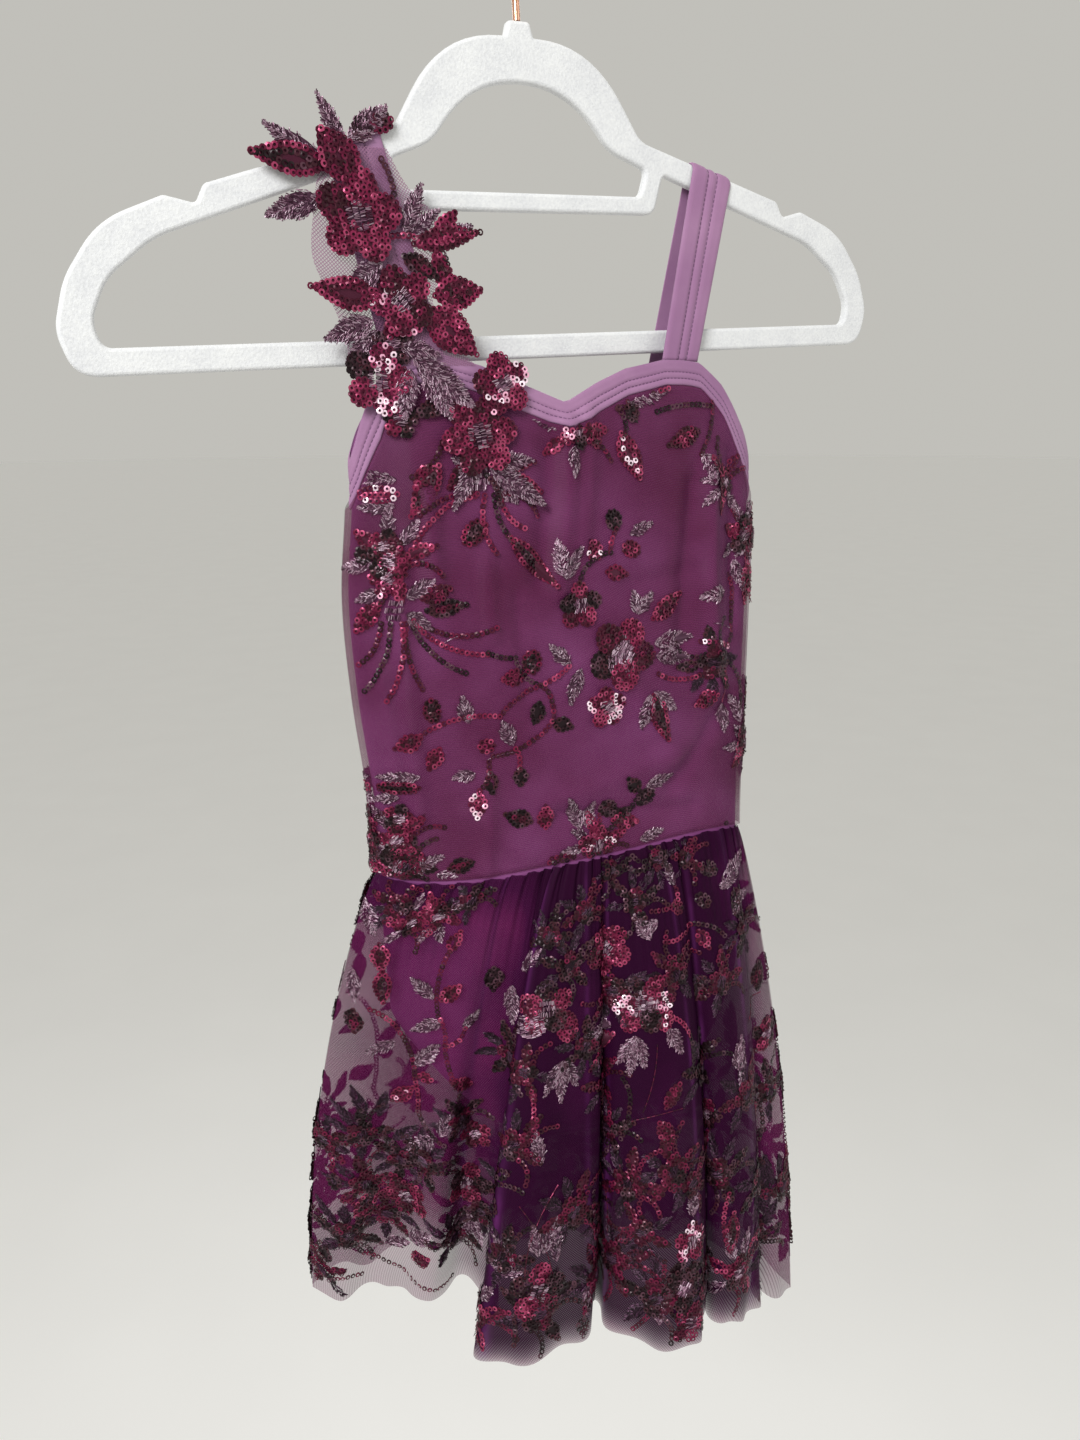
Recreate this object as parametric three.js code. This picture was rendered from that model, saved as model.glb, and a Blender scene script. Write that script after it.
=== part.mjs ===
// A strapped dance costume with a gathered net skirt, hanging on a flocked hanger.
// Millimetres, +Z up, the hanger along X and the costume's front towards -Y.
// The origin is the inner top of the hook, where a rail holds it.
// "Left" and "right" are those of someone who looks at the front.

import * as THREE from "three";

// Driving dimensions of the hanger
const HANGER_TILT = THREE.MathUtils.degToRad(-3.17);
const NECK_TOP = -86.5;
const HANGER_THICKNESS = 5.5;
const HANGER_BEVEL = 1.3;
const WIRE_RADIUS = 1.75;
const HOOK_INNER_RADIUS = 22;
const HOOK_START_ANGLE = THREE.MathUtils.degToRad(-48);
const HOOK_END_ANGLE = THREE.MathUtils.degToRad(205);
const HOOK_LOOP_POINTS = 14;
const HOOK_STEPS = 36;
const WIRE_SIDES = 8;
const SHANK_STRAIGHT = 24;
const ARM_SLOPE = -0.2876;
const ARM_KNEE = { across: 85.3, level: -52.8 };

// Driving dimensions of the cloth
const CLOTH = 1;
const SEAM_GAP = 0.3;
const LAYER_GAP = 0.5;
const BINDING_WIDTH = 12;
const STRAP_THICKNESS = 1.2;
const STRAP_CLEARANCE = 0.6;
const NET_SIDE_SLACK = 2.5;
const GUSSET_HALF_WIDTH = 29;
const GUSSET_DROP = 7;
const BINDING_OVERLAP = 1;

// Half the hanger's outlines, from its middle out: corner points and their radii.
// The levels are measured from the top of its neck.
const HANGER_OUTER = [
  { across: 5.7, level: 0, radius: 2.6 },
  { across: 7.5, level: -6.5, radius: 1 },
  { across: 38.8, level: -6.5, radius: 55 },
  { across: 66.3, level: -47.3, radius: 14 },
  { across: 154.5, level: -72.7, radius: 4 },
  { across: 159, level: -80.5, radius: 3 },
  { across: 172, level: -77.5, radius: 4 },
  { across: 200, level: -88, radius: 45 },
  { across: 217, level: -110, radius: 40 },
  { across: 224, level: -130, radius: 20 },
  { across: 219, level: -149, radius: 13 },
];
const HANGER_ARCH = [
  { across: 25.6, level: -25.5, radius: 53 },
  { across: 48.3, level: -52.5, radius: 25 },
  { across: 69.5, level: -60, radius: 4 },
  { across: 65.5, level: -72.5, radius: 5 },
];
const HANGER_WINDOW = [
  { across: 73.5, level: -81, radius: 7 },
  { across: 79.5, level: -62.2, radius: 3 },
  { across: 178, level: -94, radius: 45 },
  { across: 200, level: -110, radius: 30 },
  { across: 209, level: -127, radius: 15 },
  { across: 206, level: -137.5, radius: 5 },
];
const CORNER_STEPS = 5;
const WIDE_CORNER_RADIUS = 50;

// The body's sections: centre, half width, turn in degrees, and depth before and behind.
const BODY_SECTIONS = [
  { level: -233, x: 26, y: -1, half: 118, turn: 0, front: 12, back: 11 },
  { level: -291, x: 30, y: -4, half: 118, turn: -1, front: 17, back: 12 },
  { level: -352, x: 25.5, y: -8, half: 118.5, turn: -4, front: 19, back: 13 },
  { level: -405, x: 24, y: -12, half: 115.5, turn: -6, front: 19, back: 13 },
  { level: -462, x: 24.5, y: -15, half: 111, turn: -8, front: 18, back: 12 },
  { level: -506, x: 24, y: -17, half: 110.5, turn: -9, front: 17, back: 12 },
  { level: -560, x: 24, y: -21, half: 110, turn: -11, front: 14, back: 11 },
  { level: -610, x: 24, y: -24, half: 109, turn: -12, front: 12, back: 10 },
  { level: -700, x: 22, y: -27, half: 106, turn: -12, front: 9, back: 8 },
];

// Cut edges of the body panels. "side" runs from -1 at the left seam to 1 at the right one.
const FRONT_TOP = [
  { side: -1, level: -285 },
  { side: -0.95, level: -282.5 },
  { side: -0.88, level: -277 },
  { side: -0.78, level: -264 },
  { side: -0.68, level: -250 },
  { side: -0.56, level: -238 },
  { side: -0.47, level: -236 },
  { side: -0.385, level: -236 },
  { side: -0.27, level: -241 },
  { side: -0.158, level: -249 },
  { side: -0.03, level: -258 },
  { side: 0.08, level: -248 },
  { side: 0.18, level: -241 },
  { side: 0.33, level: -236 },
  { side: 0.41, level: -236 },
  { side: 0.495, level: -237 },
  { side: 0.62, level: -248 },
  { side: 0.75, level: -266 },
  { side: 0.87, level: -280 },
  { side: 0.94, level: -286 },
  { side: 1, level: -290 },
];
const BACK_TOP = [
  { side: -1, level: -285 },
  { side: -0.95, level: -282.5 },
  { side: -0.88, level: -278 },
  { side: -0.75, level: -266 },
  { side: -0.65, level: -256 },
  { side: -0.56, level: -247 },
  { side: -0.385, level: -247 },
  { side: -0.25, level: -270 },
  { side: -0.1, level: -286 },
  { side: 0.05, level: -288 },
  { side: 0.2, level: -270 },
  { side: 0.33, level: -247 },
  { side: 0.495, level: -247 },
  { side: 0.62, level: -258 },
  { side: 0.75, level: -270 },
  { side: 0.87, level: -282 },
  { side: 0.94, level: -286.5 },
  { side: 1, level: -290 },
];
const WAIST = [
  { side: -1, level: -504 },
  { side: -0.4, level: -511 },
  { side: 0, level: -507 },
  { side: 0.5, level: -502 },
  { side: 1, level: -506 },
];
const LEG_EDGE = [
  { side: -1, level: -590 },
  { side: -0.82, level: -602 },
  { side: -0.65, level: -622 },
  { side: -0.5, level: -645 },
  { side: -0.34, level: -670 },
  { side: -0.18, level: -690 },
  { side: 0, level: -690 },
  { side: 0.18, level: -690 },
  { side: 0.34, level: -680 },
  { side: 0.5, level: -662 },
  { side: 0.65, level: -636 },
  { side: 0.82, level: -604 },
  { side: 1, level: -585 },
];
const CROTCH_LEVEL = -690;

// The skirt hangs from the waist section and opens towards this one at the hem.
const HEM_SECTION = { x: 8.5, y: -46, turn: -21.2 };
const SKIRT_TOP_DROP = 0.9;
const SKIRT_LEAN = 1.3;
const SKIRT_SPREAD = 0.7;
const SKIRT_BELLY = 7;
const FOLD_GROWTH = 0.9;
const GATHER_RISE = 1.1;
const GATHER_LENGTH = 0.3;
const SKIRT_START_FULLNESS = 1.5;

// A row for each crest, riser and valley of the skirt's folds: its place across the waist
// and across the hem, how far forward it stands at the hem, and the hem's level there.
const SKIRT_FRONT_FOLDS = [
  { waist: -110.5, hem: -158, forward: 0, level: -782 },
  { waist: -97, hem: -140, forward: 7, level: -786 },
  { waist: -80, hem: -119, forward: -2, level: -786 },
  { waist: -64, hem: -101, forward: 1, level: -786 },
  { waist: -48, hem: -84, forward: 15, level: -788 },
  { waist: -36, hem: -68, forward: 0, level: -785 },
  { waist: -25, hem: -49, forward: 9, level: -786 },
  { waist: -18, hem: -46, forward: 30, level: -787 },
  { waist: -13, hem: -58, forward: 51, level: -790 },
  { waist: -5, hem: -38, forward: 63, level: -787 },
  { waist: 4, hem: -10, forward: 54, level: -785 },
  { waist: 11, hem: 10, forward: 44, level: -786 },
  { waist: 16, hem: 15, forward: 25, level: -786 },
  { waist: 22, hem: 24, forward: 44, level: -786 },
  { waist: 35, hem: 46, forward: 60, level: -787 },
  { waist: 48, hem: 69, forward: 58, level: -788 },
  { waist: 57, hem: 79, forward: 46, level: -788 },
  { waist: 63, hem: 83, forward: 28, level: -789 },
  { waist: 72, hem: 91, forward: 43, level: -791 },
  { waist: 88, hem: 106, forward: 39, level: -795 },
  { waist: 99, hem: 116, forward: 28, level: -798 },
  { waist: 104, hem: 121, forward: 11, level: -802 },
  { waist: 108, hem: 134, forward: 11, level: -810 },
  { waist: 110.5, hem: 150, forward: 0, level: -816 },
];
const SKIRT_BACK_FOLDS = [
  { waist: -110.5, hem: -158, forward: 0, level: -782 },
  { waist: -96, hem: -142, forward: -22, level: -788 },
  { waist: -79, hem: -121, forward: -15, level: -784 },
  { waist: -62, hem: -99, forward: -40, level: -790 },
  { waist: -46, hem: -76, forward: -27, level: -788 },
  { waist: -29, hem: -51, forward: -46, level: -794 },
  { waist: -11, hem: -26, forward: -31, level: -792 },
  { waist: 6, hem: 0, forward: -50, level: -798 },
  { waist: 24, hem: 25, forward: -33, level: -797 },
  { waist: 41, hem: 48, forward: -48, level: -802 },
  { waist: 57, hem: 72, forward: -30, level: -802 },
  { waist: 73, hem: 93, forward: -44, level: -808 },
  { waist: 88, hem: 114, forward: -25, level: -808 },
  { waist: 100, hem: 133, forward: -28, level: -813 },
  { waist: 110.5, hem: 150, forward: 0, level: -816 },
];
const COLUMNS_PER_FOLD = 3;
const SKIRT_ROWS = 9;
const PANEL_ROWS = 8;
const BRIEF_ROWS = 6;
const BINDING_ROWS = 2;
const GUSSET_COLUMNS = 4;
const GUSSET_ROWS = 8;

// The straps: where they cross the hanger, and the stretch of panel edge that they join.
const STRAPS = {
  left: { crossing: -85.5, from: -0.56, to: -0.385, frontFoot: -236, backFoot: -247 },
  right: { crossing: 109.5, from: 0.33, to: 0.495, frontFoot: -236, backFoot: -247 },
};
const STRAP_COLUMNS = 3;
const STRAP_CORNERS = 6;
const STRAP_STRAIGHTS = 5;
const STRAP_FOOT_RISE = 0.4;

// The applique over the left strap. Each layer stands this far in front of the last.
const APPLIQUE_LAYER = 1.3;
const APPLIQUE_NET = [
  { level: -147, left: -90, right: -64 },
  { level: -162, left: -97, right: -55 },
  { level: -176, left: -100, right: -40 },
  { level: -194, left: -102, right: -38 },
  { level: -210, left: -96, right: -46 },
  { level: -226, left: -90, right: -40 },
  { level: -240, left: -88, right: -26 },
];
const FLOWERS = [
  { name: "applique_flower_top", x: -80, level: -177, radius: 19, petals: 5, turn: 12, layer: 2 },
  { name: "applique_flower_upper", x: -62, level: -212, radius: 15, petals: 5, turn: 40, layer: 2 },
  { name: "applique_flower_middle", x: -76, level: -247, radius: 16, petals: 5, turn: 0, layer: 1 },
  { name: "applique_flower_inner", x: -14, level: -249, radius: 13, petals: 5, turn: 30, layer: 2 },
  { name: "applique_flower_lower", x: -27, level: -273, radius: 19, petals: 6, turn: 10, layer: 1 },
];
const LEAVES = [
  { name: "applique_leaf_shoulder", x: -80, level: -163, length: 26, width: 17, turn: 128, layer: 3 },
  { name: "applique_leaf_crest", x: -82, level: -146, length: 25, width: 9, turn: 40, layer: 1 },
  { name: "applique_leaf_tip", x: -94, level: -156, length: 38, width: 13, turn: 176, layer: 1 },
  { name: "applique_leaf_under_tip", x: -95, level: -169, length: 27, width: 11, turn: 200, layer: 1 },
  { name: "applique_leaf_sprig_high", x: -58, level: -182, length: 24, width: 9, turn: 66, layer: 1 },
  { name: "applique_leaf_sprig_out", x: -55, level: -187, length: 36, width: 9, turn: 12, layer: 1 },
  { name: "applique_leaf_sprig_low", x: -60, level: -192, length: 20, width: 8, turn: -28, layer: 1 },
  { name: "applique_leaf_left", x: -72, level: -212, length: 32, width: 13, turn: 172, layer: 3 },
  { name: "applique_leaf_left_low", x: -70, level: -220, length: 24, width: 11, turn: 200, layer: 1 },
  { name: "applique_petal_right", x: -50, level: -216, length: 30, width: 17, turn: -40, layer: 1 },
  { name: "applique_leaf_silver", x: -58, level: -238, length: 36, width: 14, turn: -38, layer: 2 },
  { name: "applique_leaf_drop", x: -42, level: -286, length: 30, width: 10, turn: -118, layer: 0 },
  { name: "applique_leaf_fan", x: -22, level: -288, length: 36, width: 11, turn: -34, layer: 0 },
];
const APPLIQUE_SIDES = { left: -0.85, right: 0.2 };
const APPLIQUE_COLUMNS = 4;
const PETAL_POINTS = 6;
const PETAL_DEPTH = 0.3;
const LEAF_POINTS = 6;
const LEAF_FULLNESS = 0.8;

// Finishes
const FINISH = {
  flock: { color: 0xdfe1e4, roughness: 0.95, metalness: 0 },
  copper: { color: 0xc98a6b, roughness: 0.25, metalness: 1 },
  spandex: { color: 0x8a4593, roughness: 0.5, metalness: 0 },
  binding: { color: 0x9c63a8, roughness: 0.55, metalness: 0 },
  net: { color: 0x6b2467, roughness: 0.7, metalness: 0 },
  sequin: { color: 0x8c2a5c, roughness: 0.3, metalness: 0.3 },
  thread: { color: 0x9a7192, roughness: 0.4, metalness: 0.4 },
};

function material(finish) {
  return new THREE.MeshStandardMaterial({ ...FINISH[finish], side: THREE.FrontSide });
}

function namedMesh(name, geometry, finish) {
  const mesh = new THREE.Mesh(geometry, material(finish));
  mesh.name = name;
  return mesh;
}

function mix(from, to, share) {
  return from + (to - from) * share;
}

// Reads one column of a table at a place between its rows, along a smooth curve.
function smoothValue(table, key, column, place) {
  const last = table.length - 1;
  const keyOf = (row) => (key === "row" ? row : table[row][key]);
  const rising = keyOf(last) > keyOf(0) ? 1 : -1;
  let row = 0;
  while (row < last - 1 && (place - keyOf(row + 1)) * rising > 0) row += 1;
  const slope = (at) => {
    const before = Math.max(at - 1, 0);
    const after = Math.min(at + 1, last);
    return (table[after][column] - table[before][column]) / (keyOf(after) - keyOf(before));
  };
  const span = keyOf(row + 1) - keyOf(row);
  const t = THREE.MathUtils.clamp((place - keyOf(row)) / span, 0, 1);
  const start = table[row][column];
  const end = table[row + 1][column];
  const swing = slope(row) * span * t * (1 - t) ** 2 - slope(row + 1) * span * t * t * (1 - t);
  return mix(start, end, t * t * (3 - 2 * t)) + swing;
}

// Reads an edge table between its rows, along straight lines.
function edgeLevel(table, side) {
  const last = table.length - 1;
  let row = 0;
  while (row < last - 1 && side > table[row + 1].side) row += 1;
  const t = (side - table[row].side) / (table[row + 1].side - table[row].side);
  return mix(table[row].level, table[row + 1].level, THREE.MathUtils.clamp(t, 0, 1));
}

// Turns "across" and "forward" distances in a section into a point at a level.
function sectionPoint(section, across, forward, level) {
  const turn = THREE.MathUtils.degToRad(section.turn);
  const x = section.x + across * Math.cos(turn) + forward * Math.sin(turn);
  const y = section.y + across * Math.sin(turn) - forward * Math.cos(turn);
  return new THREE.Vector3(x, y, level);
}

function bodySection(level) {
  const section = {};
  for (const column of ["x", "y", "half", "turn", "front", "back"]) {
    section[column] = smoothValue(BODY_SECTIONS, "level", column, level);
  }
  return section;
}

// A point on the body's outer surface. "facing" is 1 on the front and -1 on the back.
function bodyPoint(side, level, facing) {
  const section = bodySection(level);
  const angle = (side * Math.PI) / 2;
  const depth = facing > 0 ? section.front : section.back;
  const forward = facing * (SEAM_GAP / 2 + depth * Math.cos(angle));
  return sectionPoint(section, section.half * Math.sin(angle), forward, level);
}

const NORMAL_STEP = 0.002;

function surfaceNormal(surface, u, v) {
  const step = NORMAL_STEP;
  const alongU = surface(Math.min(u + step, 1), v).sub(surface(Math.max(u - step, 0), v));
  const alongV = surface(u, Math.min(v + step, 1)).sub(surface(u, Math.max(v - step, 0)));
  return alongU.cross(alongV).normalize();
}

// A closed wall between two offsets of a surface, seen from its outer side with u to the
// right and v upwards.
function clothWall({ surface, columns, rows, inner, outer }) {
  const positions = [];
  const layers = [outer, inner];
  for (const layer of layers) {
    for (const v of rows) {
      for (const u of columns) {
        const point = surface(u, v);
        const offset = typeof layer === "function" ? layer(u, v) : layer;
        point.addScaledVector(surfaceNormal(surface, u, v), offset);
        positions.push(point.x, point.y, point.z);
      }
    }
  }
  const wide = columns.length;
  const high = rows.length;
  const at = (layer, row, column) => (layer * high + row) * wide + column;
  const index = [];
  const quad = (a, b, c, d) => index.push(a, b, c, a, c, d);
  for (let row = 0; row < high - 1; row += 1) {
    for (let column = 0; column < wide - 1; column += 1) {
      quad(at(0, row, column), at(0, row, column + 1), at(0, row + 1, column + 1), at(0, row + 1, column));
      quad(at(1, row, column), at(1, row + 1, column), at(1, row + 1, column + 1), at(1, row, column + 1));
    }
  }
  for (let column = 0; column < wide - 1; column += 1) {
    const top = high - 1;
    quad(at(1, 0, column), at(1, 0, column + 1), at(0, 0, column + 1), at(0, 0, column));
    quad(at(0, top, column), at(0, top, column + 1), at(1, top, column + 1), at(1, top, column));
  }
  for (let row = 0; row < high - 1; row += 1) {
    const end = wide - 1;
    quad(at(1, row, 0), at(0, row, 0), at(0, row + 1, 0), at(1, row + 1, 0));
    quad(at(0, row, end), at(1, row, end), at(1, row + 1, end), at(0, row + 1, end));
  }
  const geometry = new THREE.BufferGeometry();
  geometry.setAttribute("position", new THREE.Float32BufferAttribute(positions, 3));
  geometry.setIndex(index);
  geometry.computeVertexNormals();
  return geometry;
}

function evenSteps(count) {
  return Array.from({ length: count + 1 }, (_, step) => step / count);
}

// A body panel between a lower and an upper edge, each a function of "side".
function bodyPanel(facing, sides, lower, upper, inner, outer, rowCount) {
  const sideOf = (u) => (2 * u - 1) * facing;
  const surface = (u, v) => {
    const side = sideOf(u);
    return bodyPoint(side, mix(lower(side), upper(side), v), facing);
  };
  const columns = sides.map((side) => (side * facing + 1) / 2).sort((a, b) => a - b);
  const offset = (layer) => (typeof layer === "function" ? (u) => layer(sideOf(u)) : layer);
  return clothWall({
    surface,
    columns,
    rows: evenSteps(rowCount),
    inner: offset(inner),
    outer: offset(outer),
  });
}

function sidesOf(table) {
  return table.map((row) => row.side);
}

const frontTop = (side) => edgeLevel(FRONT_TOP, side);
const backTop = (side) => edgeLevel(BACK_TOP, side);
const waistLevel = (side) => smoothValue(WAIST, "side", "level", side);
const legLevel = (side) => edgeLevel(LEG_EDGE, side);

// The binding keeps its width square to the edge, so it reaches further down where the
// edge is steep.
function bindingLevel(top, facing) {
  const reach = 0.06;
  const steepest = 1.6;
  return (side) => {
    const low = Math.max(side - reach, -1);
    const high = Math.min(side + reach, 1);
    const from = bodyPoint(low, top(low), facing);
    const to = bodyPoint(high, top(high), facing);
    const run = Math.hypot(to.x - from.x, to.y - from.y);
    const steepness = Math.min(Math.abs(to.z - from.z) / run, steepest);
    return top(side) - BINDING_WIDTH * Math.hypot(1, steepness);
  };
}

function bodicePanels() {
  const above = (side) => waistLevel(side) + SEAM_GAP / 2;
  return [
    namedMesh(
      "bodice_front",
      bodyPanel(1, sidesOf(FRONT_TOP), above, frontTop, -CLOTH, 0, PANEL_ROWS),
      "spandex",
    ),
    namedMesh(
      "bodice_back",
      bodyPanel(-1, sidesOf(BACK_TOP), above, backTop, -CLOTH, 0, PANEL_ROWS),
      "spandex",
    ),
  ];
}

// The net lies on the panels and stands a little proud of them round the sides.
function bodiceNets() {
  const inner = (side) => LAYER_GAP + NET_SIDE_SLACK * Math.abs(side) ** 6;
  const outer = (side) => inner(side) + CLOTH;
  const above = (side) => waistLevel(side) + SEAM_GAP / 2;
  const below = (top, facing) => (side) => bindingLevel(top, facing)(side) - SEAM_GAP;
  return [
    namedMesh(
      "bodice_front_net",
      bodyPanel(1, sidesOf(FRONT_TOP), above, below(frontTop, 1), inner, outer, PANEL_ROWS),
      "net",
    ),
    namedMesh(
      "bodice_back_net",
      bodyPanel(-1, sidesOf(BACK_TOP), above, below(backTop, -1), inner, outer, PANEL_ROWS),
      "net",
    ),
  ];
}

function edgeBindings() {
  const outer = LAYER_GAP + CLOTH;
  const above = (top) => (side) => top(side) + BINDING_OVERLAP;
  return [
    namedMesh(
      "binding_front",
      bodyPanel(1, sidesOf(FRONT_TOP), bindingLevel(frontTop, 1), above(frontTop), LAYER_GAP, outer, BINDING_ROWS),
      "binding",
    ),
    namedMesh(
      "binding_back",
      bodyPanel(-1, sidesOf(BACK_TOP), bindingLevel(backTop, -1), above(backTop), LAYER_GAP, outer, BINDING_ROWS),
      "binding",
    ),
  ];
}

function briefPanels() {
  const below = (side) => waistLevel(side) - SEAM_GAP / 2;
  const panel = (facing, table) => bodyPanel(facing, sidesOf(table), legLevel, below, -CLOTH, 0, BRIEF_ROWS);
  return [
    namedMesh("brief_front", panel(1, FRONT_TOP), "spandex"),
    namedMesh("brief_back", panel(-1, FRONT_TOP), "spandex"),
  ];
}

// The gusset is a strip that turns under from the front's lowest edge to the back's.
function gusset() {
  const section = bodySection(CROTCH_LEVEL);
  const surface = (u, v) => {
    const across = mix(-GUSSET_HALF_WIDTH, GUSSET_HALF_WIDTH, u);
    const angle = mix(Math.PI, 0, v);
    const middle = (section.front - section.back) / 2;
    const reach = (section.front + section.back) / 2;
    const forward = middle + reach * Math.cos(angle);
    const level = CROTCH_LEVEL - SEAM_GAP - GUSSET_DROP * Math.sin(angle);
    return sectionPoint(section, across, forward, level);
  };
  const wall = clothWall({
    surface,
    columns: evenSteps(GUSSET_COLUMNS),
    rows: evenSteps(GUSSET_ROWS),
    inner: -CLOTH,
    outer: 0,
  });
  return namedMesh("gusset", wall, "spandex");
}

// A point of the skirt: "fold" counts along the table's rows, "fall" runs from 0 at the
// waist to 1 at the hem.
function skirtPoint(folds, facing, fold, fall) {
  const row = (column) => smoothValue(folds, "row", column, fold);
  const waist = bodySection(WAIST[0].level);
  const lean = fall ** SKIRT_LEAN;
  const section = {
    x: mix(waist.x, HEM_SECTION.x, lean),
    y: mix(waist.y, HEM_SECTION.y, lean),
    turn: mix(waist.turn, HEM_SECTION.turn, lean),
  };
  const side = THREE.MathUtils.clamp(row("waist") / waist.half, -1, 1);
  const depth = facing > 0 ? waist.front : waist.back;
  const edge = folds.length - 1;
  const settled = Math.min(fold, edge - fold, 1);
  const gather = GATHER_RISE * Math.sin(2 * Math.PI * fold) * Math.max(0, 1 - fall / GATHER_LENGTH);
  const atWaist = facing * (depth * Math.sqrt(1 - side * side) + settled * (SKIRT_START_FULLNESS + gather));
  const growth = fall ** FOLD_GROWTH;
  const belly = (SKIRT_BELLY * Math.sin(Math.PI * fall) * row("hem")) / folds[edge].hem;
  const across = mix(waist.half * side, row("hem"), fall ** SKIRT_SPREAD) + belly;
  const forward = mix(atWaist, row("forward"), growth) + (facing * SEAM_GAP) / 2;
  const angle = (2 / Math.PI) * Math.asin(side);
  const level = mix(waistLevel(angle) - SKIRT_TOP_DROP, row("level"), fall);
  return sectionPoint(section, across, forward, level);
}

function skirtPanel(name, folds, facing) {
  const edge = folds.length - 1;
  const surface = (u, v) => skirtPoint(folds, facing, edge * (facing > 0 ? u : 1 - u), 1 - v);
  const wall = clothWall({
    surface,
    columns: evenSteps(edge * COLUMNS_PER_FOLD),
    rows: evenSteps(SKIRT_ROWS),
    inner: LAYER_GAP,
    outer: LAYER_GAP + CLOTH,
  });
  return namedMesh(name, wall, "net");
}

// Moves a point of the hanger's own plane into the costume's frame.
function hangerPoint(across, level, y) {
  const point = new THREE.Vector3(across, y, NECK_TOP + level);
  return point.applyAxisAngle(new THREE.Vector3(0, 1, 0), HANGER_TILT);
}

// A strap rises from the front panel's edge, turns over the hanger's arm and falls to the
// back panel's edge. "along" runs from 0 to 3, one unit for each of these stretches.
function strapPoint(strap, u, along) {
  const side = mix(strap.from, strap.to, u);
  const width = bodyPoint(strap.to, strap.frontFoot, 1).distanceTo(bodyPoint(strap.from, strap.frontFoot, 1));
  const across = strap.crossing + (u - 0.5) * width;
  const armLevel = ARM_KNEE.level + ARM_SLOPE * (Math.abs(across) - ARM_KNEE.across);
  const clearance = HANGER_THICKNESS / 2 + STRAP_CLEARANCE;
  if (along > 1 && along < 2) {
    const angle = Math.PI * (along - 1);
    const y = -clearance * Math.cos(angle);
    return hangerPoint(across, armLevel - HANGER_THICKNESS / 2 + clearance * Math.sin(angle), y);
  }
  const facing = along <= 1 ? 1 : -1;
  const foot = bodyPoint(side, facing > 0 ? strap.frontFoot : strap.backFoot, facing);
  foot.y += facing * STRAP_THICKNESS;
  foot.z += STRAP_FOOT_RISE;
  const head = hangerPoint(across, armLevel - HANGER_THICKNESS / 2, -facing * clearance);
  return foot.lerp(head, facing > 0 ? along : 3 - along);
}

function strapLoop(name, strap) {
  const surface = (u, v) => strapPoint(strap, u, 3 * v);
  const stretch = (start, count) => evenSteps(count).slice(1).map((step) => (start + step) / 3);
  const rows = [0, ...stretch(0, STRAP_STRAIGHTS), ...stretch(1, STRAP_CORNERS), ...stretch(2, STRAP_STRAIGHTS)];
  const wall = clothWall({ surface, columns: evenSteps(STRAP_COLUMNS), rows, inner: 0, outer: STRAP_THICKNESS });
  return namedMesh(name, wall, "binding");
}

// How far forward the applique's ground lies: over the strap, and lower down over the
// bodice and its binding.
function appliqueGround(x, level) {
  const foot = STRAPS.left.frontFoot;
  const head = hangerPoint(STRAPS.left.crossing, ARM_KNEE.level, 0).z;
  const onPanel = (at) => {
    const section = bodySection(Math.min(at, foot));
    const share = (x - section.x) / section.half;
    const side = THREE.MathUtils.clamp(share, APPLIQUE_SIDES.left, APPLIQUE_SIDES.right);
    return bodyPoint((2 / Math.PI) * Math.asin(side), Math.min(at, foot), 1).y - LAYER_GAP - CLOTH;
  };
  const onArm = -HANGER_THICKNESS / 2 - STRAP_CLEARANCE - STRAP_THICKNESS;
  const rise = THREE.MathUtils.clamp((level - foot) / (head - foot), 0, 1);
  return mix(onPanel(level), onArm, rise) - LAYER_GAP;
}

function appliqueNet() {
  const edge = APPLIQUE_NET.length - 1;
  const surface = (u, v) => {
    const row = edge * (1 - v);
    const level = smoothValue(APPLIQUE_NET, "row", "level", row);
    const left = smoothValue(APPLIQUE_NET, "row", "left", row);
    const right = smoothValue(APPLIQUE_NET, "row", "right", row);
    const x = mix(left, right, u);
    return new THREE.Vector3(x, appliqueGround(x, level), level);
  };
  const wall = clothWall({
    surface,
    columns: evenSteps(APPLIQUE_COLUMNS),
    rows: evenSteps(edge),
    inner: 0,
    outer: CLOTH,
  });
  return namedMesh("applique_net", wall, "net");
}

// Cuts an outline from flat cloth, then lays it over the ground at its layer.
function appliquePiece(name, outline, place, finish) {
  const shape = new THREE.Shape(outline);
  const geometry = new THREE.ExtrudeGeometry(shape, { depth: CLOTH, bevelEnabled: false });
  const turn = THREE.MathUtils.degToRad(place.turn);
  const spot = geometry.attributes.position;
  for (let vertex = 0; vertex < spot.count; vertex += 1) {
    const along = spot.getX(vertex);
    const beside = spot.getY(vertex);
    const x = place.x + along * Math.cos(turn) - beside * Math.sin(turn);
    const level = place.level + along * Math.sin(turn) + beside * Math.cos(turn);
    const forward = place.layer * APPLIQUE_LAYER + spot.getZ(vertex);
    spot.setXYZ(vertex, x, appliqueGround(x, level) - forward, level);
  }
  geometry.computeVertexNormals();
  return namedMesh(name, geometry, finish);
}

function flowerOutline({ radius, petals }) {
  const points = [];
  for (let step = 0; step < petals * PETAL_POINTS; step += 1) {
    const angle = (2 * Math.PI * step) / (petals * PETAL_POINTS);
    const bulge = Math.abs(Math.cos((petals * angle) / 2));
    const reach = radius * (1 - PETAL_DEPTH + PETAL_DEPTH * bulge);
    points.push(new THREE.Vector2(reach * Math.cos(angle), reach * Math.sin(angle)));
  }
  return points;
}

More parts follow.
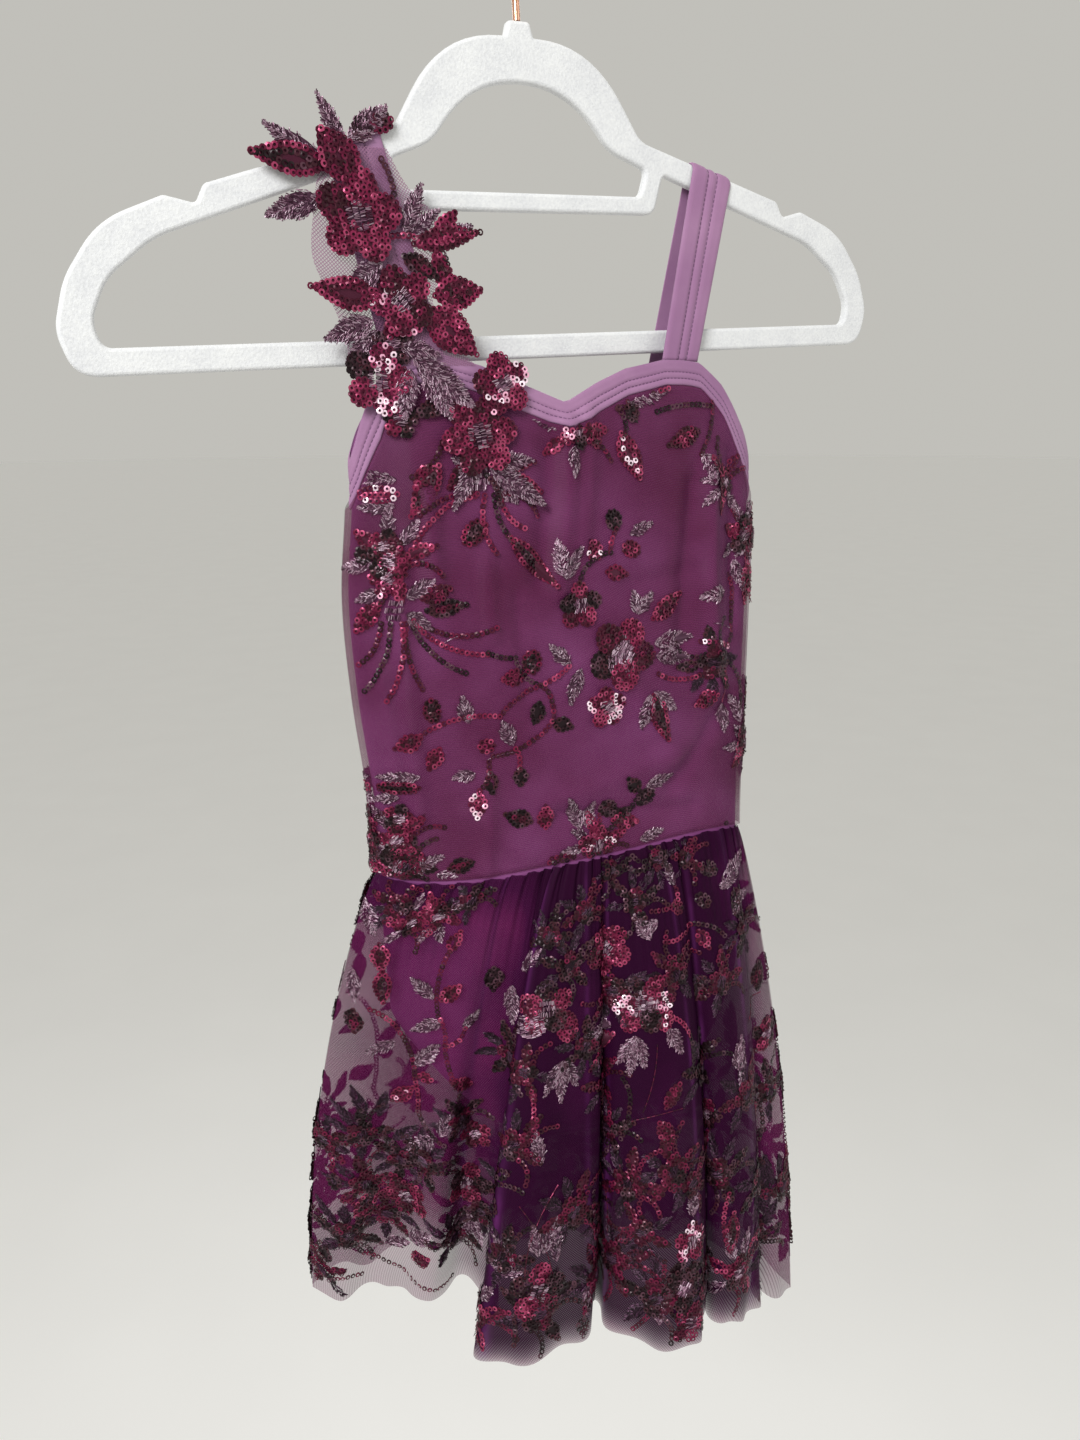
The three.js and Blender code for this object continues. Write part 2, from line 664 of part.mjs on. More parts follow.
// A leaf starts at its stalk and ends in a point.
function leafOutline({ length, width }) {
  const upper = [];
  const lower = [];
  for (let step = 1; step < LEAF_POINTS; step += 1) {
    const share = step / LEAF_POINTS;
    const half = (width / 2) * Math.sin(Math.PI * share ** LEAF_FULLNESS);
    upper.unshift(new THREE.Vector2(length * share, half));
    lower.push(new THREE.Vector2(length * share, -half));
  }
  return [new THREE.Vector2(0, 0), ...lower, new THREE.Vector2(length, 0), ...upper];
}

function applique() {
  const flowers = FLOWERS.map((place) => appliquePiece(place.name, flowerOutline(place), place, "sequin"));
  const leaves = LEAVES.map((place) => appliquePiece(place.name, leafOutline(place), place, "thread"));
  return [appliqueNet(), ...flowers, ...leaves];
}

// Rounds each corner of a closed outline with an arc of its own radius.
function roundedOutline(corners) {
  const points = [];
  corners.forEach((corner, place) => {
    const before = corners[(place + corners.length - 1) % corners.length];
    const after = corners[(place + 1) % corners.length];
    const here = new THREE.Vector2(corner.across, corner.level);
    const back = new THREE.Vector2(before.across, before.level).sub(here);
    const ahead = new THREE.Vector2(after.across, after.level).sub(here);
    const opening = Math.acos(back.clone().normalize().dot(ahead.clone().normalize()));
    const cut = corner.radius / Math.tan(opening / 2);
    const start = here.clone().addScaledVector(back.normalize(), cut);
    const end = here.clone().addScaledVector(ahead.normalize(), cut);
    const steps = corner.radius > WIDE_CORNER_RADIUS ? 2 * CORNER_STEPS : CORNER_STEPS;
    for (let step = 0; step <= steps; step += 1) {
      const t = step / steps;
      const bend = here.clone().multiplyScalar(2 * t * (1 - t));
      bend.addScaledVector(start, (1 - t) ** 2).addScaledVector(end, t ** 2);
      points.push(bend);
    }
  });
  return points;
}

// Completes half an outline, anticlockwise as seen from the front.
function mirrored(half) {
  const other = half.map((corner) => ({ ...corner, across: -corner.across }));
  return [...half.toReversed(), ...other];
}

function hangerBody() {
  const shape = new THREE.Shape(roundedOutline(mirrored(HANGER_OUTER)));
  shape.holes.push(new THREE.Path(roundedOutline(mirrored(HANGER_ARCH))));
  shape.holes.push(new THREE.Path(roundedOutline(mirrored(HANGER_WINDOW))));
  const geometry = new THREE.ExtrudeGeometry(shape, {
    depth: HANGER_THICKNESS - 2 * HANGER_BEVEL,
    bevelThickness: HANGER_BEVEL,
    bevelSize: HANGER_BEVEL,
    bevelOffset: -HANGER_BEVEL,
    bevelSegments: 1,
  });
  geometry.rotateX(Math.PI / 2);
  geometry.translate(0, HANGER_THICKNESS / 2 - HANGER_BEVEL, NECK_TOP);
  return namedMesh("hanger_body", geometry, "flock");
}

// The hook rises straight from the neck, then runs round in one open loop.
function hangerHook() {
  const radius = HOOK_INNER_RADIUS + WIRE_RADIUS;
  const foot = NECK_TOP + SEAM_GAP;
  const points = [
    new THREE.Vector3(0, 0, foot),
    new THREE.Vector3(0, 0, foot + SHANK_STRAIGHT / 2),
    new THREE.Vector3(0, 0, foot + SHANK_STRAIGHT),
  ];
  for (let step = 0; step <= HOOK_LOOP_POINTS; step += 1) {
    const angle = mix(HOOK_START_ANGLE, HOOK_END_ANGLE, step / HOOK_LOOP_POINTS);
    points.push(new THREE.Vector3(radius * Math.cos(angle), 0, radius * Math.sin(angle) - HOOK_INNER_RADIUS));
  }
  const section = new THREE.Shape();
  section.absarc(0, 0, WIRE_RADIUS, 0, 2 * Math.PI);
  const geometry = new THREE.ExtrudeGeometry(section, {
    extrudePath: new THREE.CatmullRomCurve3(points),
    steps: HOOK_STEPS,
    curveSegments: WIRE_SIDES / 2,
    bevelEnabled: false,
  });
  return namedMesh("hanger_hook", geometry, "copper");
}

const hanger = new THREE.Group();
hanger.rotation.y = HANGER_TILT;
hanger.add(hangerBody(), hangerHook());

const costume = new THREE.Group();
costume.add(...bodicePanels(), ...bodiceNets(), ...edgeBindings(), ...briefPanels(), gusset());
costume.add(strapLoop("strap_left", STRAPS.left), strapLoop("strap_right", STRAPS.right));
costume.add(skirtPanel("skirt_front", SKIRT_FRONT_FOLDS, 1), skirtPanel("skirt_back", SKIRT_BACK_FOLDS, -1));
costume.add(...applique());

const group = new THREE.Group();
group.add(hanger, costume);

export default group;
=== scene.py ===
# The looks of a strapped dance costume with a gathered net skirt, on a flocked hanger.
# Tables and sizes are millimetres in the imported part's own frame, and meshes are made in
# metres: the hook's inner top is the origin, the hanger runs along X, the front faces -Y.
import math

import bpy
import numpy as np
from mathutils import Matrix, Vector


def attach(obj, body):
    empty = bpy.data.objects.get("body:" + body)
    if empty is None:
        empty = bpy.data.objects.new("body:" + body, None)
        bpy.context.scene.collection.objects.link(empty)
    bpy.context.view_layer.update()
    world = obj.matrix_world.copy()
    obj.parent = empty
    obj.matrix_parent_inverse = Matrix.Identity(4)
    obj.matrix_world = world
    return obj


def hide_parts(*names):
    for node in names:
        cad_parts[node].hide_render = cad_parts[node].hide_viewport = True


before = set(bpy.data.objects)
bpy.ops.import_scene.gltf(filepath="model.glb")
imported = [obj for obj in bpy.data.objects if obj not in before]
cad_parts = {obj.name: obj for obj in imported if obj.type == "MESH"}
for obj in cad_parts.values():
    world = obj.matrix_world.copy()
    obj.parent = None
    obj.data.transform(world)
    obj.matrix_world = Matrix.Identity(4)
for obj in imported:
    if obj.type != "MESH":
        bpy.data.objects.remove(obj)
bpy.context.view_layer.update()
MM = 0.001


def table(text):
    """A table from its text: the names of its columns, then a line for each row.

    A column of numbers becomes an array. Where words are joined by +, each row of the
    column becomes a tuple of words.
    """
    names, *rows = (line.split() for line in text.strip().splitlines())
    columns = {}
    for name, words in zip(names, zip(*rows)):
        if any("+" in word for word in words):
            columns[name] = [tuple(word.split("+")) for word in words]
        else:
            columns[name] = words if words[0][0].isalpha() else np.array(words, float)
    return columns


# Camera, at the photo's viewing angle
CAMERA_AT = (-231.05, -490.22, -262.25)
CAMERA_RIGHT = (0.8928, -0.4504, -0.0040)
CAMERA_UP = (0.1363, 0.2615, 0.9555)
CAMERA_FORWARD = (0.4294, 0.8536, -0.2949)
CAMERA_LENS = 24.86
SENSOR_HEIGHT = 36
CAMERA_NEAR = 0.01

# Hanger
HANGER_TILT = math.radians(-3.17)
NECK_TOP = -86.5
HANGER_THICKNESS = 5.5
HANGER_ROUNDING = 1.7
WIRE_RADIUS = 1.75
HOOK_INNER_RADIUS = 22
HOOK_START_ANGLE = math.radians(-48)
HOOK_END_ANGLE = math.radians(205)
SHANK_STRAIGHT = 24
ARM_SLOPE = -0.2876
ARM_KNEE_ACROSS = 85.3
ARM_KNEE_LEVEL = -52.8
HANGER_OUTER = table("""
    across level radius
    5.7 0 2.6
    7.5 -6.5 1
    38.8 -6.5 55
    66.3 -47.3 14
    154.5 -72.7 4
    159 -80.5 3
    172 -77.5 4
    200 -88 45
    217 -110 40
    224 -130 20
    219 -149 13
""")
HANGER_ARCH = table("""
    across level radius
    25.6 -25.5 53
    48.3 -52.5 25
    69.5 -60 4
    65.5 -72.5 5
""")
HANGER_WINDOW = table("""
    across level radius
    73.5 -81 7
    79.5 -62.2 3
    178 -94 45
    200 -110 30
    209 -127 15
    206 -137.5 5
""")

# Cloth
CLOTH = 1
SEAM_GAP = 0.3
LAYER_GAP = 0.5
BINDING_WIDTH = 12
STRAP_THICKNESS = 1.2
STRAP_CLEARANCE = 0.6
NET_SIDE_SLACK = 2.5
GUSSET_HALF_WIDTH = 29
GUSSET_DROP = 7
CROTCH_LEVEL = -690
BODY_SECTIONS = table("""
    level x y half turn front back
    -233 26 -1 118 0 12 11
    -291 30 -4 118 -1 17 12
    -352 25.5 -8 118.5 -4 19 13
    -405 24 -12 115.5 -6 19 13
    -462 24.5 -15 111 -8 18 12
    -506 24 -17 110.5 -9 17 12
    -560 24 -21 110 -11 14 11
    -610 24 -24 109 -12 12 10
    -700 22 -27 106 -12 9 8
""")
FRONT_TOP = table("""
    side level
    -1 -285
    -0.95 -282.5
    -0.88 -277
    -0.78 -264
    -0.68 -250
    -0.56 -238
    -0.47 -236
    -0.385 -236
    -0.27 -241
    -0.158 -249
    -0.03 -258
    0.08 -248
    0.18 -241
    0.33 -236
    0.41 -236
    0.495 -237
    0.62 -248
    0.75 -266
    0.87 -280
    0.94 -286
    1 -290
""")
BACK_TOP = table("""
    side level
    -1 -285
    -0.95 -282.5
    -0.88 -278
    -0.75 -266
    -0.65 -256
    -0.56 -247
    -0.385 -247
    -0.25 -270
    -0.1 -286
    0.05 -288
    0.2 -270
    0.33 -247
    0.495 -247
    0.62 -258
    0.75 -270
    0.87 -282
    0.94 -286.5
    1 -290
""")
WAIST = table("""
    side level
    -1 -504
    -0.4 -511
    0 -507
    0.5 -502
    1 -506
""")
LEG_EDGE = table("""
    side level
    -1 -590
    -0.82 -602
    -0.65 -622
    -0.5 -645
    -0.34 -670
    -0.18 -690
    0 -690
    0.18 -690
    0.34 -680
    0.5 -662
    0.65 -636
    0.82 -604
    1 -585
""")

# Skirt
HEM_X = 8.5
HEM_Y = -46
HEM_TURN = -21.2
SKIRT_TOP_DROP = 0.9
SKIRT_LEAN = 1.3
SKIRT_SPREAD = 0.7
SKIRT_BELLY = 7
FOLD_GROWTH = 0.9
GATHER_RISE = 1.1
GATHER_LENGTH = 0.3
SETTLED_RISE = 1.5
# "layers" counts the nets that lie over each other in a gathered fold.
# Many nets also darken the net's colour: partly the deeper colour of net over net, partly painted shade
# inside the deep folds
SKIRT_FRONT_FOLDS = table("""
    waist hem forward level layers
    -110.5 -158 0 -782 1
    -97 -140 7 -786 1
    -80 -119 -2 -786 1
    -64 -101 1 -786 1
    -48 -84 15 -788 1.2
    -36 -68 0 -785 1.6
    -25 -49 9 -786 2.6
    -18 -46 30 -787 5
    -13 -58 51 -790 6
    -5 -38 63 -787 6
    4 -10 54 -785 5
    11 10 44 -786 5.5
    16 15 25 -786 6
    22 24 44 -786 6
    35 46 60 -787 5.5
    48 69 58 -788 5.5
    57 79 46 -788 6
    63 83 28 -789 6
    72 91 43 -791 5.5
    88 106 39 -795 4.5
    99 116 28 -798 3.5
    104 121 11 -802 2.6
    108 134 11 -810 1.6
    110.5 150 0 -816 1.2
""")
SKIRT_BACK_FOLDS = table("""
    waist hem forward level layers
    -110.5 -158 0 -782 1
    -96 -142 -22 -788 1.4
    -79 -121 -15 -784 2.2
    -62 -99 -40 -790 3
    -46 -76 -27 -788 3.4
    -29 -51 -46 -794 3.6
    -11 -26 -31 -792 3.6
    6 0 -50 -798 3.4
    24 25 -33 -797 3.2
    41 48 -48 -802 3
    57 72 -30 -802 2.8
    73 93 -44 -808 2.4
    88 114 -25 -808 1.8
    100 133 -28 -813 1.3
    110.5 150 0 -816 1
""")

# Straps
STRAP_LEFT = {"crossing": -85.5, "from": -0.56, "to": -0.385}
STRAP_RIGHT = {"crossing": 109.5, "from": 0.33, "to": 0.495}
STRAP_FRONT_FOOT = -236
STRAP_BACK_FOOT = -247
STRAP_FOOT_RISE = 0.4


def mix(start, end, share):
    return start + (end - start) * share


def smooth_value(rows, key, column, place):
    """Reads a column at places between its rows, along the smooth curve that the solids follow."""
    values = rows[column]
    keys = np.arange(len(values), dtype=float) if key == "row" else rows[key]
    if keys[0] > keys[-1]:
        keys, values = keys[::-1], values[::-1]
    ahead = np.minimum(np.arange(len(keys)) + 1, len(keys) - 1)
    behind = np.maximum(np.arange(len(keys)) - 1, 0)
    slopes = (values[ahead] - values[behind]) / (keys[ahead] - keys[behind])
    at = np.clip(np.searchsorted(keys, place) - 1, 0, len(keys) - 2)
    span = keys[at + 1] - keys[at]
    t = np.clip((place - keys[at]) / span, 0, 1)
    swing = slopes[at] * span * t * (1 - t) ** 2 - slopes[at + 1] * span * t * t * (1 - t)
    return mix(values[at], values[at + 1], t * t * (3 - 2 * t)) + swing


def unit(vectors):
    return vectors / np.maximum(np.linalg.norm(vectors, axis=-1, keepdims=True), 1e-12)


def section_point(x, y, turn, across, forward, level):
    """Turns distances across and forward in a level section into points."""
    cos, sin = np.cos(np.radians(turn)), np.sin(np.radians(turn))
    place_x = x + across * cos + forward * sin
    place_y = y + across * sin - forward * cos
    return np.stack(np.broadcast_arrays(place_x, place_y, level), axis=-1)


def body_section(level):
    """The body's section at a level: its middle, half width, turn and depths."""
    return {name: smooth_value(BODY_SECTIONS, "level", name, level) for name in BODY_SECTIONS}


def body_point(side, level, facing):
    """Points on the body's outer surface. facing is 1 on the front and -1 on the back."""
    section = body_section(level)
    angle = np.asarray(side) * math.pi / 2
    depth = section["front" if facing > 0 else "back"]
    forward = facing * (SEAM_GAP / 2 + depth * np.cos(angle))
    across = section["half"] * np.sin(angle)
    return section_point(section["x"], section["y"], section["turn"], across, forward, level)


def front_top(side):
    return np.interp(side, FRONT_TOP["side"], FRONT_TOP["level"])


def back_top(side):
    return np.interp(side, BACK_TOP["side"], BACK_TOP["level"])


def waist_level(side):
    return smooth_value(WAIST, "side", "level", side)


def leg_level(side):
    return np.interp(side, LEG_EDGE["side"], LEG_EDGE["level"])


def binding_level(side, facing):
    """The binding's lower edge. It keeps its width square to the edge where that is steep."""
    top = front_top if facing > 0 else back_top
    reach, steepest = 0.06, 1.6
    low, high = np.maximum(side - reach, -1), np.minimum(side + reach, 1)
    step = body_point(high, top(high), facing) - body_point(low, top(low), facing)
    steepness = np.abs(step[..., 2]) / np.linalg.norm(step[..., :2], axis=-1)
    return top(side) - BINDING_WIDTH * np.hypot(1, np.minimum(steepness, steepest))


def skirt_point(folds, facing, fold, fall):
    """Points of the skirt: fold counts along the table's rows, fall runs from waist to hem."""

    def row(column):
        return smooth_value(folds, "row", column, fold)

    waist = body_section(WAIST["level"][0])
    lean = fall**SKIRT_LEAN
    x, y = mix(waist["x"], HEM_X, lean), mix(waist["y"], HEM_Y, lean)
    turn = mix(waist["turn"], HEM_TURN, lean)
    side = np.clip(row("waist") / waist["half"], -1, 1)
    depth = waist["front"] if facing > 0 else waist["back"]
    edge = len(folds["waist"]) - 1
    settled = np.minimum(np.minimum(fold, edge - fold), 1)
    gather = GATHER_RISE * np.sin(2 * math.pi * fold) * np.maximum(0, 1 - fall / GATHER_LENGTH)
    at_waist = facing * (depth * np.sqrt(1 - side**2) + settled * (SETTLED_RISE + gather))
    belly = SKIRT_BELLY * np.sin(math.pi * fall) * row("hem") / folds["hem"][-1]
    across = mix(waist["half"] * side, row("hem"), fall**SKIRT_SPREAD) + belly
    forward = mix(at_waist, row("forward"), fall**FOLD_GROWTH) + facing * SEAM_GAP / 2
    top = waist_level(2 / math.pi * np.arcsin(side)) - SKIRT_TOP_DROP
    return section_point(x, y, turn, across, forward, mix(top, row("level"), fall))


def hanger_point(across, y, level):
    """Points of the hanger's own plane, with its tilt."""
    z = NECK_TOP + level
    cos, sin = math.cos(HANGER_TILT), math.sin(HANGER_TILT)
    return np.stack(np.broadcast_arrays(across * cos + z * sin, y, z * cos - across * sin), axis=-1)


def strap_point(strap, u, along):
    """Points of a strap: along runs 0 to 1 up the front, to 2 over the arm, to 3 down the back."""
    corners = body_point(np.array([strap["from"], strap["to"]]), STRAP_FRONT_FOOT, 1)
    across = strap["crossing"] + (u - 0.5) * np.linalg.norm(corners[1] - corners[0])
    arm = ARM_KNEE_LEVEL + ARM_SLOPE * (np.abs(across) - ARM_KNEE_ACROSS) - HANGER_THICKNESS / 2
    clearance = HANGER_THICKNESS / 2 + STRAP_CLEARANCE
    if 1 < along < 2:
        angle = math.pi * (along - 1)
        return hanger_point(across, -clearance * math.cos(angle), arm + clearance * math.sin(angle))
    facing = 1 if along <= 1 else -1
    side = mix(strap["from"], strap["to"], u)
    foot = body_point(side, STRAP_FRONT_FOOT if facing > 0 else STRAP_BACK_FOOT, facing)
    foot = foot + np.array([0, facing * STRAP_THICKNESS, STRAP_FOOT_RISE])
    head = hanger_point(across, -facing * clearance, arm)
    return mix(foot, head, along if facing > 0 else 3 - along)


def grid_normals(points):
    """Outward directions of a grid whose rows run down and whose columns run right."""
    return unit(np.cross(np.gradient(points, axis=1), -np.gradient(points, axis=0)))


def grid_faces(rows, columns, start=0, flipped=False):
    at = start + np.arange(rows * columns).reshape(rows, columns)
    corners = [at[:-1, :-1], at[1:, :-1], at[1:, 1:], at[:-1, 1:]]
    if flipped:
        corners = corners[::-1]
    return np.stack(corners, axis=-1).reshape(-1, 4)


def rim_faces(rows, columns):
    """The narrow faces that join an outer grid to an inner one that follows it."""
    outer = np.arange(rows * columns).reshape(rows, columns)
    loop = np.concatenate([outer[0, :-1], outer[:-1, -1], outer[-1, :0:-1], outer[:0:-1, 0]])
    after = np.roll(loop, -1)
    size = rows * columns
    return np.stack([loop, after, after + size, loop + size], axis=-1)


def cloth_map(points):
    """Distances across and down a grid in metres, for the weave."""
    across = np.zeros(points.shape[:2])
    across[:, 1:] = np.cumsum(np.linalg.norm(np.diff(points, axis=1), axis=2), axis=1)
    across -= across[:, -1:] / 2
    down = np.zeros(points.shape[:2])
    down[1:] = np.cumsum(np.linalg.norm(np.diff(points, axis=0), axis=2), axis=0)
    return np.stack([across, down], axis=-1).reshape(-1, 2) * MM


def make_piece(name, points, faces, finish, coordinates=None, values=None):
    """A smooth mesh piece from millimetre points, on the part's one body."""
    mesh = bpy.data.meshes.new(name)
    faces = faces.tolist() if isinstance(faces, np.ndarray) else faces
    mesh.from_pydata((np.asarray(points).reshape(-1, 3) * MM).tolist(), [], faces)
    mesh.polygons.foreach_set("use_smooth", [True] * len(mesh.polygons))
    if coordinates is not None:
        corner = np.empty(len(mesh.loops), np.int32)
        mesh.loops.foreach_get("vertex_index", corner)
        layer = mesh.uv_layers.new(name="cloth")
        layer.data.foreach_set("uv", coordinates[corner].astype(np.float32).ravel())
    for key, numbers in (values or {}).items():
        if np.ndim(numbers) == 1:
            layer = mesh.attributes.new(key, "FLOAT", "POINT")
            layer.data.foreach_set("value", numbers.astype(np.float32))
        else:
            colours = np.concatenate([numbers, np.ones((len(numbers), 1))], axis=1)
            layer = mesh.attributes.new(key, "FLOAT_COLOR", "POINT")
            layer.data.foreach_set("color", colours.astype(np.float32).ravel())
    mesh.materials.append(finish)
    piece = bpy.data.objects.new(name, mesh)
    bpy.context.scene.collection.objects.link(piece)
    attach(piece, "root")
    return piece


def make_wall(name, outer, inner, finish):
    """A closed wall of cloth between two grids."""
    rows, columns = outer.shape[:2]
    faces = np.concatenate([
        grid_faces(rows, columns),
        grid_faces(rows, columns, rows * columns, flipped=True),
        rim_faces(rows, columns),
    ])
    coordinates = cloth_map(outer)
    points = np.concatenate([outer.reshape(-1, 3), inner.reshape(-1, 3)])
    return make_piece(name, points, faces, finish, np.concatenate([coordinates, coordinates]))


# Soft folds of the cloth, from one end to the other: distances across from the middle and
# levels, then the height (below 0 for a trough) and half the width.
FRONT_CREASES = table("""
    across level to_across to_level height width
    -6 -268 -10 -352 3.6 5
    6 -262 2 -330 2.7 4
    -18 -280 -22 -345 -3.2 6
    84 -290 90 -420 4.2 5
    72 -300 66 -400 -3.4 6
    100 -286 104 -380 -2.7 4
    -84 -300 -76 -352 3.4 5
    -96 -330 -88 -470 3.0 5
    -34 -352 -28 -408 -2.0 3
    60 -470 100 -425 -3.4 6
    -10 -478 74 -486 -2.6 5
    -60 -470 -30 -500 2.3 6
    30 -400 62 -455 2.3 8
    -50 -452 -52 -506 2.6 4
    -51 -335 -47 -374 2.2 4
    32 -352 78 -347 -1.8 5
    38 -388 90 -394 1.8 5
    88 -445 -14 -470 2.0 7
    -104 -390 -98 -450 2.2 5
""")
BACK_CREASES = table("""
    across level to_across to_level height width
    0 -300 -6 -372 3.4 6
    -24 -318 -20 -400 -3.0 6
    40 -300 34 -360 2.6 5
    -78 -300 -86 -410 3.4 6
    82 -320 76 -440 -3.0 6
    -60 -480 10 -470 -2.7 6
    50 -440 96 -480 2.6 6
""")
BRIEF_CREASES = table("""
    across level to_across to_level height width
    -70 -520 -64 -600 1.2 6
    -30 -540 -12 -660 1.1 7
    20 -560 8 -670 -1.0 6
    60 -520 40 -640 1.2 7
    86 -530 90 -590 -1.0 5
    -50 -600 30 -610 -0.8 8
""")


# How fast the soft folds rise from the side seams, and how sharply the net bows out to them
SIDE_SETTLING = 12
NET_SIDE_POWER = 6


def crease_relief(creases, across, level):
    """How far the soft folds raise the cloth at distances across and levels."""
    relief = np.zeros(np.broadcast(across, level).shape)
    for start, top, end, bottom, height, width in zip(*creases.values()):
        run = np.array([end - start, bottom - top])
        share = ((across - start) * run[0] + (level - top) * run[1]) / (run @ run)
        share = np.clip(share, 0, 1)
        away = np.hypot(across - start - share * run[0], level - top - share * run[1])
        relief += height * np.exp(-((away / width) ** 2))
    return relief


def body_grid(facing, side, level, offset=0.0):
    """A grid on the body, with its soft folds, moved out by an offset."""
    points = body_point(side, level, facing)
    half = smooth_value(BODY_SECTIONS, "level", "half", level)
    across = half * np.sin(np.asarray(side) * math.pi / 2)
    relief = crease_relief(FRONT_CREASES if facing > 0 else BACK_CREASES, across, level)
    relief += crease_relief(BRIEF_CREASES, across, level)
    settled = np.clip((1 - np.abs(side)) * SIDE_SETTLING, 0, 1)
    points = points + grid_normals(points) * (relief * settled)[..., None]
    return points + grid_normals(points) * np.broadcast_to(offset, points.shape[:2])[..., None]


# How many points the grids have across and down
PANEL_COLUMNS = 111
BODICE_ROWS = 80
BRIEF_ROWS = 50
BINDING_ROWS = 42
GUSSET_COLUMNS = 25
GUSSET_ROWS = 29
STRAP_COLUMNS = 51
STRAP_RUN_ROWS = 44
STRAP_BEND_ROWS = 19
COLUMNS_PER_FOLD = 12
SKIRT_ROWS = 76
APPLIQUE_COLUMNS = 40
APPLIQUE_ROWS = 60


def panel(facing, upper, lower, rows):
    """The outer and inner grids of a body panel between two edges."""
    side = facing * np.linspace(-1, 1, PANEL_COLUMNS)[None, :]
    share = np.linspace(0, 1, rows)[:, None]
    level = mix(upper(side), lower(side), share)
    return body_grid(facing, side, level), body_grid(facing, side, level, -CLOTH)


def net_lift(side):
    """The overlay net stands a little proud of the panels, most of all round the sides."""
    return LAYER_GAP + CLOTH / 2 + NET_SIDE_SLACK * np.abs(side) ** NET_SIDE_POWER


# Sizes of the weaves in metres
KNIT_RIB = 0.0007
KNIT_LOOP = 0.0009
OVERLAY_ROW = 0.0013
SKIRT_NET_CELL = 0.0015
APPLIQUE_NET_CELL = 0.0017
# A net's threads take up the wave above this height
THREAD_EDGE = 0.55

# Noises of the materials: their scale, which is how many waves a metre has, and their detail
NOISES = {
    "flock_fibres": (900, 3),
    "flock_patches": (60, 3),
    "copper_wear": (260, 2),
    "knit_mottling": (28, 4),
    "overlay_drift_and_painted_sheen": (14, 3),
    "skirt_drift": (22, 4),
    # Breaks up the painted sheen along the skirt's fold edges
    "skirt_painted_sheen_breaks": (30, 2),
    "applique_drift": (60, 3),
    "sequin_wear": (700, 2),
    "seam_twist": (900, 3),
    "thread_twist": (2600, 2),
    "floor_mottling": (3, 2),
}
# Colours: places along a noise, each with its red, green and blue
RAMPS = {
    "flock": ((0.3, (0.58, 0.59, 0.61)), (0.5, (0.66, 0.67, 0.68)), (0.68, (0.72, 0.73, 0.73))),
    "copper": ((0.35, (0.72, 0.36, 0.22)), (0.7, (0.9, 0.52, 0.36))),
    "spandex": ((0.3, (0.17, 0.034, 0.15)), (0.7, (0.23, 0.06, 0.2))),
    "binding": ((0.3, (0.28, 0.135, 0.26)), (0.7, (0.35, 0.185, 0.32))),
    "lining": ((0.3, (0.07, 0.03, 0.16)), (0.7, (0.11, 0.05, 0.22))),
    "overlay": ((0.3, (0.085, 0.01, 0.042)), (0.7, (0.15, 0.026, 0.088))),
    # The skirt's colours go darker as the stacked nets grow, partly as painted shade in the folds
    "skirt": ((0.35, (0.12, 0.012, 0.07)), (0.6, (0.042, 0.004, 0.032)), (0.9, (0.02, 0.002, 0.016))),
    "applique": ((0.3, (0.16, 0.05, 0.12)), (0.7, (0.3, 0.14, 0.24))),
    "seam": ((0.3, (0.07, 0.02, 0.07)), (0.7, (0.13, 0.05, 0.13))),
    "floor": ((0.3, (0.975, 0.975, 0.97)), (0.7, (0.99, 0.99, 0.985))),
}
SHEENS = {
    "spandex": (0.8, 0.5, 0.85, 1),
    "binding": (0.85, 0.7, 0.85, 1),
    "lining": (0.6, 0.5, 0.9, 1),
    "overlay": (0.75, 0.35, 0.85, 1),
    "skirt": (0.6, 0.2, 0.85, 1),
}
# The lighter violet of the painted sheen along the skirt's fold edges
PAINTED_FOLD_SHEEN_COLOUR = (0.085, 0.014, 0.085, 1)


